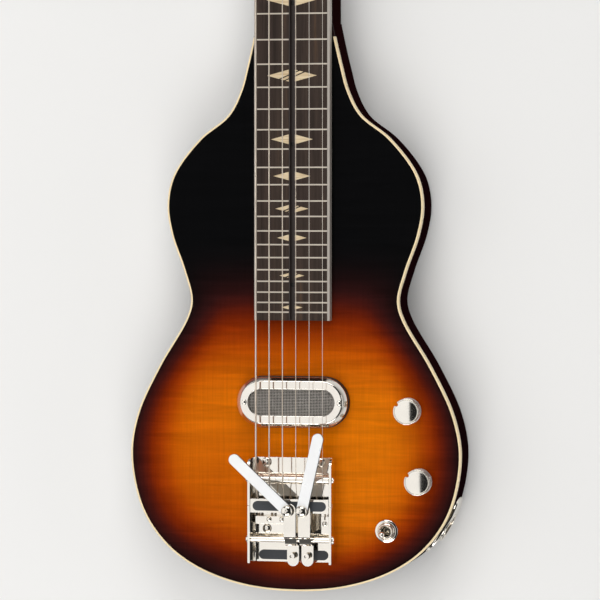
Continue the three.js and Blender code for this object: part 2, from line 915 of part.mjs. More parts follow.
// Three gear housings pressed in one plate
function tunerPlate(side) {
  const mine = tunerPlaces.filter((tuner) => tuner.side === side);
  const first = mine[0];
  const last = mine[mine.length - 1];
  const reach = housingLength / 2 + tunerPlateMargin;
  const outer = last.x + side * (housingWidth / 2 + housingOffset);
  const inner = first.x - side * (housingWidth / 2 + tunerPlateMargin);
  const plate = block(Math.min(outer, inner), Math.max(outer, inner), first.y - reach,
    last.y + reach, housingTop - tunerPlateThickness, housingTop);
  return join(plate, ...mine.map(tunerHousing));
}

function tunerPost({ x, y }) {
  const top = bodyDepth + postHeight;
  const profile = [
    [0, housingTop + fitGap],
    [postRadius, housingTop + fitGap],
    [postRadius, top - postCapHeight],
    [postRadius + postCapFlare, top - postCapHeight / 2],
    [postRadius, top],
    [0, top],
  ];
  return turned(profile, rodSides).translate(x, y, 0);
}

function tunerButton({ side, x, y }) {
  const start = x + side * (housingWidth / 2 + housingOffset + collarLength + fitGap);
  const neckEnd = start + side * (buttonShaftLength + cutOverrun);
  const centre = start + side * (buttonShaftLength + buttonLength / 2);
  const shaft = rod(buttonShaftRadius, Math.min(start, neckEnd), Math.max(start, neckEnd),
    y - wormOffset, wormZ, screwSides);
  const oval = new THREE.Shape();
  oval.absellipse(0, 0, buttonLength / 2 - buttonEdge, buttonWidth / 2 - buttonEdge, 0, Math.PI * 2);
  const grip = new THREE.ExtrudeGeometry(oval, {
    depth: buttonThickness - buttonEdge * 2,
    bevelThickness: buttonEdge,
    bevelSize: buttonEdge,
    bevelSegments: 1,
    curveSegments: roundSegments,
  }).translate(centre, y - wormOffset, wormZ - buttonThickness / 2 + buttonEdge);
  return join(shaft, grip);
}

place('tuner_plate_bass', tunerPlate(-1), nickel);
place('tuner_plate_treble', tunerPlate(1), nickel);
tunerPlaces.forEach((tuner, index) => {
  place(`tuner_post_${index + 1}`, tunerPost(tuner), nickel);
  place(`tuner_button_${index + 1}`, tunerButton(tuner), nickel);
});

// Pickup
const coverTop = bodyDepth + pickupHeight;

function pickupCover() {
  const flange = extrude(obround(pickupLength, pickupWidth), bodyDepth + seatGap,
    bodyDepth + seatGap + pickupFlange, roundSegments);
  const inset = pickupEdge * 2;
  const dome = new THREE.ExtrudeGeometry(obround(pickupTopLength - inset, pickupTopWidth - inset), {
    depth: pickupHeight - pickupEdge * 2,
    bevelThickness: pickupEdge,
    bevelSize: pickupEdge,
    bevelSegments: 2,
    curveSegments: roundSegments,
  }).translate(0, 0, bodyDepth + pickupEdge);
  const foot = block(-pickupLength, pickupLength, -pickupLength, pickupLength,
    bodyDepth - cutOverrun, bodyDepth + seatGap);
  const hollow = extrude(
    obround(pickupTopLength - pickupWall * 2, pickupTopWidth - pickupWall * 2),
    bodyDepth - cutOverrun,
    coverTop - pickupWall,
    roundSegments,
  );
  const opening = extrude(obround(windowLength, windowWidth), bodyDepth, coverTop + cutOverrun,
    roundSegments);
  return cut(join(flange, dome), foot, hollow, opening).translate(0, pickupPlace, 0);
}

// Half the width of a rounded slot at a distance along it
function slotHalf(length, width, along) {
  const beyond = Math.max(Math.abs(along) - (length - width) / 2, 0);
  return Math.sqrt(Math.max((width / 2) ** 2 - beyond ** 2, 0));
}

function pickupMesh() {
  const length = windowLength + pickupWall;
  const width = windowWidth + pickupWall;
  const top = coverTop - pickupWall - seatGap;
  const wires = [];
  const columns = Math.floor(length / meshPitch / 2);
  const rows = Math.floor(width / meshPitch / 2);
  for (let column = -columns; column <= columns; column += 1) {
    const x = column * meshPitch;
    const half = slotHalf(length, width, x);
    wires.push(block(x - meshWire / 2, x + meshWire / 2, -half, half, top - meshWire, top));
  }
  for (let row = -rows; row <= rows; row += 1) {
    const y = row * meshPitch;
    const half = (length - width) / 2 + Math.sqrt((width / 2) ** 2 - y ** 2);
    wires.push(block(-half, half, y - meshWire / 2, y + meshWire / 2, top - meshWire - meshLap,
      top - meshLap));
  }
  return join(...wires).translate(0, pickupPlace, 0);
}

function pickupCoil() {
  const high = coverTop - pickupWall - meshRoom - fitGap;
  const length = pickupTopLength - pickupWall * 2 - pickupTopWidth / 2;
  const width = pickupTopWidth - pickupWall * 4;
  return extrude(obround(length, width), high - coilHeight, high).translate(0, pickupPlace, 0);
}

place('pickup_cover', pickupCover(), nickel);
place('pickup_mesh', pickupMesh(), meshSteel);
place('pickup_coil', pickupCoil(), blackPlastic);

// Controls
function controlCover() {
  const inset = coverLedge - fitGap;
  return cavity(cavityRadius + inset, coverInset, coverInset + coverThickness);
}

function pot({ x, y }) {
  const high = shellTop - seatGap;
  const profile = [
    [0, high - potHeight],
    [potRadius, high - potHeight],
    [potRadius, high],
    [potBushingRadius, high],
    [potBushingRadius, bodyDepth + potBushingRise],
    [potShaftRadius, bodyDepth + potBushingRise],
    [potShaftRadius, bodyDepth + potShaftRise],
    [0, bodyDepth + potShaftRise],
  ];
  return turned(profile, turnedSides).translate(x, y, 0);
}

function knob() {
  const low = bodyDepth + fitGap;
  const high = low + knobHeight;
  const profile = [
    [0, low],
    [knobRadius, low],
    [knobRadius, high - knobEdge],
    [knobRadius - knobEdge, high],
    [knobRingOuter, high],
  ];
  for (let ring = 0; ring < knobRingCount; ring += 1) {
    const outer = knobRingOuter - ring * knobRingPitch;
    profile.push([outer - knobRingPitch / 2, high - knobRingDepth]);
    profile.push([outer - knobRingPitch, high]);
  }
  const crownRadius = knobRingOuter - knobRingCount * knobRingPitch;
  profile.push([crownRadius / 2, high + knobCrown * knobCrownShare], [0, high + knobCrown]);
  const hollow = disc(knobHollowRadius, low - cutOverrun, low + knobHollowDepth);
  const bore = disc(potShaftRadius + fitGap, low, bodyDepth + potShaftRise + fitGap);
  const notch = block(knobRadius - knobNotchDepth, knobRadius + cutOverrun, -knobNotchWidth / 2,
    knobNotchWidth / 2, low - cutOverrun, high + cutOverrun)
    .rotateZ(degrees(knobNotchAngle));
  return cut(turned(profile, knobSides), hollow, bore, notch);
}

// Switch can, bushing, dress washer and nut, with the bore that the lever leans in
function toggleSwitch() {
  const top = bodyDepth + seatGap + toggleWasherThickness + toggleNutRise;
  const washer = disc(toggleWasherRadius, bodyDepth + seatGap,
    bodyDepth + seatGap + toggleWasherThickness, 0, 0, washerSides);
  const ring = disc(toggleNutRadius, bodyDepth + seatGap, top - seatGap * 2, 0, 0, nutSides);
  const bushing = disc(toggleBushingRadius, shellTop - cutOverrun, top);
  const can = block(-toggleCanWidth / 2, toggleCanWidth / 2, -toggleCanLength / 2,
    toggleCanLength / 2, shellTop - seatGap - toggleCanHeight, shellTop - seatGap);
  const bore = disc(toggleBoreRadius, bodyDepth - togglePivotDepth - toggleBallRadius - fitGap,
    top + cutOverrun);
  return cut(join(washer, ring, bushing, can), bore).translate(togglePlace.x, togglePlace.y, 0);
}

function toggleLever() {
  const profile = [[0, -toggleBallRadius]];
  for (let step = 1; step < toggleSteps; step += 1) {
    const angle = -Math.PI / 2 + (step / toggleSteps) * Math.PI * toggleBallShare;
    profile.push([toggleBallRadius * Math.cos(angle), toggleBallRadius * Math.sin(angle)]);
  }
  profile.push([toggleStemRadius, toggleBallRadius]);
  const tip = toggleReach - toggleTipRadius;
  profile.push([toggleTipRadius, tip]);
  for (let step = 1; step <= toggleSteps; step += 1) {
    const angle = (step / toggleSteps) * (Math.PI / 2);
    profile.push([toggleTipRadius * Math.cos(angle), tip + toggleTipRadius * Math.sin(angle)]);
  }
  profile[profile.length - 1][0] = 0;
  return turned(profile, turnedSides);
}

place('control_cover', controlCover(), blackPlastic);
place('volume_pot', pot(volumePlace), satinSteel);
place('tone_pot', pot(tonePlace), satinSteel);
place('volume_knob', knob(), nickel).position.set(volumePlace.x, volumePlace.y, 0);
place('tone_knob', knob(), nickel).position.set(tonePlace.x, tonePlace.y, 0);
place('toggle_switch', toggleSwitch(), nickel);
const leanAxis = new THREE.Vector3(
  -Math.sin(degrees(toggleHeading)),
  Math.cos(degrees(toggleHeading)),
  0,
);
const lever = place('toggle_lever', toggleLever(), nickel);
lever.position.set(togglePlace.x, togglePlace.y, bodyDepth - togglePivotDepth);
lever.quaternion.setFromAxisAngle(leanAxis, degrees(toggleLean));

// Jack: the plate follows the side of the body, with a cup that holds the socket
function jackPlate() {
  const band = cut(
    ringStack([insetOutline(-seatGap - jackPlateThickness, 0),
      insetOutline(-seatGap - jackPlateThickness, shellTop)]),
    ringStack([insetOutline(-seatGap, -cutOverrun), insetOutline(-seatGap, shellTop + cutOverrun)]),
  );
  const reach = jackPlateLength;
  const blank = atJack(extrude(obround(jackPlateLength, jackPlateWidth), -reach / 2, reach / 2, slotCurveSteps));
  const bore = atJack(disc(jackCupRadius - jackCupWall / 2, -reach / 2, reach / 2, 0, 0, socketSides));
  const cup = atJack(turned([
    [jackSocketRadius + fitGap, -jackCupDepth],
    [jackCupRadius, -jackCupDepth],
    [jackCupRadius, jackPlateThickness],
    [jackCupRadius - jackCupWall, jackPlateThickness],
    [jackCupRadius - jackCupWall, jackCupWall - jackCupDepth],
    [jackSocketRadius + fitGap, jackCupWall - jackCupDepth],
    [jackSocketRadius + fitGap, -jackCupDepth],
  ], socketSides));
  return join(cut(common(band, blank), bore), cup);
}

function jackSocket() {
  const floor = jackCupWall - jackCupDepth;
  const nutLow = floor + seatGap;
  const sleeve = disc(jackSocketRadius, floor - jackSocketLength, nutLow + jackNutThickness);
  const hexNut = disc(jackNutRadius, nutLow, nutLow + jackNutThickness - seatGap, 0, 0, hexSides);
  const bore = disc(jackBoreRadius, floor - jackSocketLength + jackCupWall,
    nutLow + jackNutThickness + cutOverrun, 0, 0, turnedSides);
  return atJack(cut(join(sleeve, hexNut), bore));
}

place('jack_plate', jackPlate(), nickel);
place('jack_socket', jackSocket(), nickel);

// Bridge base: a bent channel whose walls carry both axles and the cross bar
function bridgeBase() {
  const low = bodyDepth + seatGap;
  const high = bodyDepth + bridgeHeight;
  const inner = bridgeHalf - bridgeWall;
  const bend = bridgeBendRadius - bridgeWall;
  const section = new THREE.Shape();
  section.moveTo(-bridgeHalf, high);
  section.lineTo(-bridgeHalf, low + bridgeBendRadius);
  section.absarc(-bridgeHalf + bridgeBendRadius, low + bridgeBendRadius, bridgeBendRadius,
    Math.PI, Math.PI * 1.5);
  section.lineTo(bridgeHalf - bridgeBendRadius, low);
  section.absarc(bridgeHalf - bridgeBendRadius, low + bridgeBendRadius, bridgeBendRadius,
    -Math.PI / 2, 0);
  section.lineTo(bridgeHalf, high);
  section.lineTo(inner, high);
  section.lineTo(inner, low + bridgeBendRadius);
  section.absarc(inner - bend, low + bridgeBendRadius, bend, 0, -Math.PI / 2, true);
  section.lineTo(-inner + bend, low + bridgeWall);
  section.absarc(-inner + bend, low + bridgeBendRadius, bend, -Math.PI / 2, -Math.PI, true);
  section.lineTo(-inner, high);
  const channel = extrudeAlongY(section, -bridgeRear, bridgeFront);

  const corner = new THREE.Shape();
  corner.moveTo(bridgeFront + cutOverrun, high + cutOverrun);
  corner.lineTo(bridgeFront - bridgeCornerRadius, high + cutOverrun);
  corner.lineTo(bridgeFront - bridgeCornerRadius, high);
  corner.absarc(bridgeFront - bridgeCornerRadius, high - bridgeCornerRadius, bridgeCornerRadius,
    Math.PI / 2, 0, true);
  corner.lineTo(bridgeFront + cutOverrun, high - bridgeCornerRadius);
  const across = bridgeHalf + cutOverrun;
  const bores = [
    rod(rollerRadius - rollerWall + fitGap, -across, across, rollerPlace, rollerZ, boreSides),
    rod(benderAxleRadius + fitGap, -across, across, benderPlace, benderZ, boreSides),
    rod(crossBarPinRadius + fitGap, -across, across, crossBarPlace, crossBarPinZ, boreSides),
  ];
  return cut(channel, extrudeAlongX(corner, -across, across), ...bores);
}

// A round axle through both walls, with its ends turned over outside them
function axle(radius, y, z) {
  const wall = bridgeHalf + seatGap;
  const end = wall + axleHeadRise;
  const profile = [
    [0, -end],
    [radius, -end + axleHeadRise / 4],
    [radius + axleHeadFlare, -wall - axleHeadRise / 4],
    [radius + axleHeadFlare, -wall],
    [radius, -wall],
    [radius, wall],
    [radius + axleHeadFlare, wall],
    [radius + axleHeadFlare, wall + axleHeadRise / 4],
    [radius, end - axleHeadRise / 4],
    [0, end],
  ];
  return turnedAlongX(profile, rodSides).translate(0, y, z);
}

// One sleeve over the whole axle, with a turned line between each pair of strings
function saddleRoller() {
  const inner = rollerRadius - rollerWall + fitGap;
  const end = bridgeHalf - bridgeWall - fitGap;
  const profile = [[inner, -end], [rollerRadius, -end]];
  for (let index = 0; index < stringDiameters.length - 1; index += 1) {
    const middle = stringX(index) + stringSpacing / 2;
    profile.push(
      [rollerRadius, middle - rollerGroove],
      [rollerRadius - rollerGroove, middle],
      [rollerRadius, middle + rollerGroove],
    );
  }
  profile.push([rollerRadius, end], [inner, end], [inner, -end]);
  return turnedAlongX(profile, rollerSides).translate(0, rollerPlace, rollerZ);
}

const crossBarHigh = bodyDepth + crossBarTop;
const crossBarPinZ = crossBarHigh - crossBarThickness / 2 - fitGap;

function crossBar() {
  const half = bridgeHalf - bridgeWall - fitGap;
  const bar = block(-half, half, crossBarPlace - crossBarWidth / 2, crossBarPlace + crossBarWidth / 2,
    crossBarHigh - crossBarThickness, crossBarHigh);
  const pinHigh = crossBarThickness / 2 - fitGap;
  const pins = rod(Math.min(crossBarPinRadius, pinHigh), -bridgeHalf, bridgeHalf, crossBarPlace,
    crossBarPinZ, rodSides);
  return join(bar, pins);
}

const stopPad = (length, width, y, low) =>
  extrude(obround(length, width), low + seatGap, low + seatGap + padThickness).translate(0, y, 0);

place('bridge_base', bridgeBase(), nickel);
place('roller_axle', axle(rollerRadius - rollerWall, rollerPlace, rollerZ), nickel);
place('saddle_roller', saddleRoller(), nickel);
place('bender_axle', axle(benderAxleRadius, benderPlace, benderZ), nickel);
place('cross_bar', crossBar(), nickel);
place('upper_pad', stopPad(upperPadLength, upperPadWidth, crossBarPlace, crossBarHigh), blackRubber);
place('lower_pad', stopPad(lowerPadLength, lowerPadWidth, lowerPadPlace, bridgeFloor), blackRubber);

// The screw in an arm's tail that stands on the lower pad and sets the pitch at rest
function adjuster(x) {
  const foot = bridgeFloor + seatGap + padThickness + fitGap;
  const head = bodyDepth + armTailTop + adjusterRise;
  const top = head + adjusterHeadHeight;
  const profile = [
    [0, foot],
    [adjusterRadius, foot],
    [adjusterRadius, head],
    [adjusterHeadRadius, head],
    [adjusterHeadRadius, top],
    [adjusterSocketRadius, top],
    [adjusterSocketRadius, top - adjusterSocketDepth],
    [0, top - adjusterSocketDepth],
  ];
  return turned(profile, boreSides).translate(x, adjusterPlace, 0);
}

// Bender arm: top plate, boss on the axle, hooked leg for the string, tail with its adjuster
function benderArm(x, stringIndex) {
  const top = bodyDepth + armTop;
  const boss = benderAxleRadius + armBoss;
  const legFront = benderPlace + armLegOffset + armLegThickness;
  const legBack = legFront - armLegThickness;
  const legLow = bodyDepth + armLegBottom;
  const tailTop = bodyDepth + armTailTop;
  const tailLow = tailTop - armPlate;
  const side = new THREE.Shape();
  side.moveTo(-armFront, top - armPlate);
  side.lineTo(-armFront, top);
  side.lineTo(legBack + armPlate / 2, top);
  side.quadraticCurveTo(legBack - armPlate / 2, top, legBack - armPlate / 2, top - armPlate);
  side.absarc(benderPlace, benderZ, boss, degrees(armBossFrontAngle), degrees(armBossRearAngle), false);
  side.lineTo(benderPlace - boss, tailTop);
  side.lineTo(-armRear, tailTop);
  side.lineTo(-armRear, tailLow);
  side.lineTo(benderPlace - boss, tailLow);
  side.lineTo(legBack, benderZ - boss - armPlate / 2);
  side.lineTo(legBack, legLow);
  side.lineTo(legFront, legLow);
  side.lineTo(legFront, top - armPlate);
  const blank = extrudeAlongX(side, x - armWidth / 2, x + armWidth / 2);
  const length = armRear - armFront;
  const plan = extrude(obround(length, armWidth), bodyDepth, top + cutOverrun)
    .rotateZ(Math.PI / 2)
    .translate(x, -armFront - length / 2, 0);
  const lineX = stringX(stringIndex);
  const radius = stringDiameters[stringIndex] / 2 + fitGap;
  const hook = block(lineX - radius, lineX + radius, legBack - cutOverrun, legFront + cutOverrun,
    legLow - cutOverrun, bodyDepth + hookHeight + ballRadius + fitGap);
  return cut(
    join(common(blank, plan), adjuster(x)),
    rod(benderAxleRadius + fitGap, x - armWidth, x + armWidth, benderPlace, benderZ, turnedSides),
    disc(domeShankRadius + fitGap, top - domeShankDepth - fitGap, top + cutOverrun,
      x - leverPivotShift, leverPivot, boreSides),
    hook,
  );
}

// Palm lever along +Y from its pivot
const leverLow = bodyDepth + armTop + seatGap;
const leverHigh = leverLow + leverThickness;

function palmLever() {
  const bar = extrude(obround(leverReach + leverWidth, leverWidth), leverLow, leverHigh,
    roundSegments)
    .rotateZ(Math.PI / 2)
    .translate(0, leverReach / 2, 0);
  return cut(bar, disc(domeShankRadius + fitGap, leverLow - cutOverrun, leverHigh + cutOverrun,
    0, 0, boreSides));
}

// The screw that clamps a lever to its arm
function domeScrew(x) {
  const head = leverHigh + seatGap;
  const profile = [
    [0, bodyDepth + armTop - domeShankDepth],
    [domeShankRadius, bodyDepth + armTop - domeShankDepth],
    [domeShankRadius, head],
    [domeRadius, head],
    ...domeShares.map(([across, up]) => [domeRadius * across, head + domeHeight * up]),
    [0, head + domeHeight],
  ];
  return turned(profile, domeSides).translate(x - leverPivotShift, leverPivot, 0);
}

armPlaces.forEach((x, index) => {
  place(`bender_arm_${index + 1}`, benderArm(x, armStrings[index]), nickel);
  place(`dome_screw_${index + 1}`, domeScrew(x), nickel);
  const palm = place(`palm_lever_${index + 1}`, palmLever(), satinSteel);
  palm.position.set(x - leverPivotShift, leverPivot, 0);
  palm.rotation.z = degrees(leverAngles[index]);
});

// One anchor block for neighbouring strings that no lever bends
function stringAnchor(indexes) {
  const low = bridgeFloor + seatGap;
  const high = bodyDepth + anchorHeight;
  const front = anchorPlace + anchorWall;
  const back = front - anchorLength;
  const room = ballRadius + fitGap;
  const line = bodyDepth + anchorLine;
  const first = stringX(indexes[0]) - anchorWidth / 2;
  const last = stringX(indexes[indexes.length - 1]) + anchorWidth / 2;
  const screws = indexes.map((index) => disc(anchorScrewRadius, high - anchorScrewHead,
    high + anchorScrewHead, stringX(index), back + anchorScrewRadius + fitGap, hexSides));
  const tools = indexes.flatMap((index) => {
    const x = stringX(index);
    const radius = stringDiameters[index] / 2 + fitGap;
    const seat = block(x - ballLength / 2 - fitGap, x + ballLength / 2 + fitGap,
      back - cutOverrun, anchorPlace, line - room, line + room);
    const slot = block(x - radius, x + radius, anchorPlace - seatGap, front + cutOverrun,
      line - radius, high + cutOverrun);
    return [seat, slot];
  });
  return cut(join(block(first, last, back, front, low, high), ...screws), ...tools);
}

place('bass_anchor', stringAnchor([0, 1, 2]), nickel);
place('treble_anchor', stringAnchor([stringDiameters.length - 1]), nickel);

// Strings: ball end, saddle roller, nut slot, then turns round the tuner post
const stringEnds = stringDiameters.map((_, index) => (armStrings.includes(index)
  ? { y: hookPlace, z: bodyDepth + hookHeight }
  : { y: anchorPlace - ballRadius - fitGap, z: bodyDepth + anchorLine }));
const tunerForString = [0, 1, 2, 5, 4, 3];

function stringRoute(index) {
  const radius = stringDiameters[index] / 2;
  const x = stringX(index);
  const z = stringRest + seatGap + radius;
  const end = stringEnds[index];
  const wrap = z - rollerZ;
  const reach = Math.hypot(rollerPlace - end.y, rollerZ - end.z);
  const lean = Math.asin(wrap / reach) + Math.atan2(rollerZ - end.z, rollerPlace - end.y);
  const points = [new THREE.Vector3(x, end.y, end.z)];
  for (let bend = rollerBends; bend >= 0; bend -= 1) {
    const angle = (lean * bend) / rollerBends;
    points.push(new THREE.Vector3(x, rollerPlace - wrap * Math.sin(angle),
      rollerZ + wrap * Math.cos(angle)));
  }
  points.push(new THREE.Vector3(x, scaleLength, z));
  points.push(new THREE.Vector3(x, nutBack, z));

  const tuner = tunerPlaces[tunerForString[index]];
  const turnRadius = postRadius + fitGap + radius;
  const away = new THREE.Vector2(x - tuner.x, nutBack - tuner.y);
  const first = away.angle() - tuner.side * Math.acos(turnRadius / away.length());
  const pitch = radius * 2 + windGap;
  const start = bodyDepth + postHeight - postCapHeight - radius - fitGap;
  for (let step = 0; step <= windTurns * windSteps; step += 1) {
    const turn = step / windSteps;
    const angle = first - tuner.side * turn * Math.PI * 2;
    points.push(new THREE.Vector3(tuner.x + turnRadius * Math.cos(angle),
      tuner.y + turnRadius * Math.sin(angle), start - pitch * turn));
  }
  return points;
}

// Least gap between neighbouring turns, measured on points of the winding
function leastWindGap(points, radius) {
  const coil = points.slice(-windTurns * windSteps - 1);
  let least = Infinity;
  for (let step = windSteps; step < coil.length; step += 1) {
    for (let other = 0; other <= step - windSteps / 2; other += 1) {
      least = Math.min(least, coil[step].distanceTo(coil[other]) - radius * 2);
    }
  }
  return least;
}

stringDiameters.forEach((diameter, index) => {
  const radius = diameter / 2;
  const points = stringRoute(index);
  const wound = index < armStrings[1];
  const ball = rod(ballRadius, -ballLength / 2, ballLength / 2, 0, 0, ballSides)
    .translate(stringX(index), stringEnds[index].y, stringEnds[index].z);
  place(`string_${index + 1}`, join(wire(points, radius, stringSides), ball),
    wound ? woundSteel : plainSteel);
  console.log(`string_${index + 1} least winding gap`, leastWindGap(points, radius).toFixed(2));
});

export default guitar;
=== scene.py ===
import json
from math import acos, asin, atan2, cos, hypot, pi, radians, sin, sqrt

import bmesh
import bpy
from mathutils import Matrix, Vector


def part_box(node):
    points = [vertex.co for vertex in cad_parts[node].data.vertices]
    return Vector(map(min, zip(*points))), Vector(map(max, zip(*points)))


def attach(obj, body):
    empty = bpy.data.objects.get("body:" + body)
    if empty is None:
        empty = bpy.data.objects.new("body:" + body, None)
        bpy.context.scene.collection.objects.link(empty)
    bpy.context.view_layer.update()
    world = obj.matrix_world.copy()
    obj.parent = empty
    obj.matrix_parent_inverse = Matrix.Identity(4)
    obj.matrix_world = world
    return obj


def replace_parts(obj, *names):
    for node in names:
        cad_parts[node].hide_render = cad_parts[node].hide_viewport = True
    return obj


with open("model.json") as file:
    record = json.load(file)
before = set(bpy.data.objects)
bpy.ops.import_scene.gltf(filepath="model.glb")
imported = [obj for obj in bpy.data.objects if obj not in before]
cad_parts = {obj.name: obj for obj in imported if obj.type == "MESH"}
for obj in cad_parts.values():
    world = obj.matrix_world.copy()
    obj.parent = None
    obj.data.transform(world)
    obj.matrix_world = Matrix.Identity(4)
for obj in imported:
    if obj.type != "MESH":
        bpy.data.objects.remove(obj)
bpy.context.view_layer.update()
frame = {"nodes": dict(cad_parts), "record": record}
nodes = frame["nodes"]

MM = 0.001
BODY_TOP = 45 * MM
BOARD_TOP = 54 * MM
STRING_REST = 64.5 * MM
SCALE = 635 * MM
NUT_BACK = 640 * MM
SPACING = 11.1 * MM
STRING_DIAMETERS = [1.4 * MM, 1.1 * MM, 0.85 * MM, 0.6 * MM, 0.44 * MM, 0.38 * MM]
POST_RADIUS = 3 * MM
PICKUP_Y = 59.5 * MM
GROOVE_HALF = 2.65 * MM
FRETS = 27
ROOT = "instrument"
ALONG_X = Matrix.Rotation(pi / 2, 3, "Y")

# Body outline up the treble side: share of the length from the tail, share of the half width, half width
TAIL = -96.7 * MM
BODY_LENGTH = 467.7 * MM
LOWER, WAIST, UPPER, NECK = 138.6 * MM, 87.2 * MM, 107.3 * MM, 31.5 * MM
OUTLINE_SHARES = [
    (0.0086, 0.314, LOWER), (0.0367, 0.591, LOWER), (0.0791, 0.79, LOWER), (0.1422, 0.934, LOWER),
    (0.2372, 1, LOWER), (0.3109, 0.959, LOWER), (0.3951, 0.826, LOWER), (0.4796, 1.045, WAIST),
    (0.5122, 1, WAIST), (0.5638, 1.069, WAIST), (0.6272, 0.966, UPPER), (0.6798, 1, UPPER),
    (0.7325, 0.951, UPPER), (0.7959, 0.744, UPPER), (0.838, 0.518, UPPER), (0.8801, 1.432, NECK),
    (0.9222, 1.26, NECK), (0.9591, 1.13, NECK), (1, 1, NECK),
]
BINDING_WIDTH = 1.5 * MM
SHELL_TOP = 38.5 * MM
WIDEST = TAIL + BODY_LENGTH * 0.2372


def smooth_line(points, steps):
    """A centripetal curve through points, as (place, unit tangent) pairs."""
    ends = [points[0] * 2 - points[1], *points, points[-1] * 2 - points[-2]]
    made = []
    for index in range(1, len(ends) - 2):
        before, here, after, beyond = ends[index - 1:index + 3]
        pairs = ((before, here), (here, after), (after, beyond))
        first, span, last = (sqrt((b - a).length) for a, b in pairs)
        slope = (after - here) / span
        leave = ((here - before) / first - (after - before) / (first + span) + slope) * span
        enter = (slope - (beyond - here) / (span + last) + (beyond - after) / last) * span
        bend = (after - here) * 3 - leave * 2 - enter
        twist = (here - after) * 2 + leave + enter
        for step in range(steps + (index == len(ends) - 3)):
            t = step / steps
            heading = leave + bend * (2 * t) + twist * (3 * t * t)
            made.append((here + leave * t + bend * t * t + twist * t ** 3, heading.normalized()))
    return made


treble_points = [Vector((half * across, TAIL + BODY_LENGTH * along))
                 for along, across, half in OUTLINE_SHARES]
bass_points = [Vector((-point.x, point.y)) for point in reversed(treble_points)]
OUTLINE = smooth_line([*bass_points, Vector((0, TAIL)), *treble_points], 8)


def inset_outline(inset):
    """The body outline drawn in, from the bass side of the neck joint round the tail to the treble side."""
    joint = TAIL + BODY_LENGTH
    made = []
    for index, (point, tangent) in enumerate(OUTLINE):
        x, y = point.x - tangent.y * inset, point.y + tangent.x * inset
        at_end = index in (0, len(OUTLINE) - 1)
        made.append((x, joint if at_end else min(y, joint - 0.1 * MM)))
    return made


def half_width(y):
    """Half the body's width at a given height up the body."""
    side = [point for point, tangent in OUTLINE[len(OUTLINE) // 2:]]
    for before, after in zip(side, side[1:]):
        if before.y <= y <= after.y:
            return before.x + (after.x - before.x) * (y - before.y) / (after.y - before.y)
    return side[-1].x


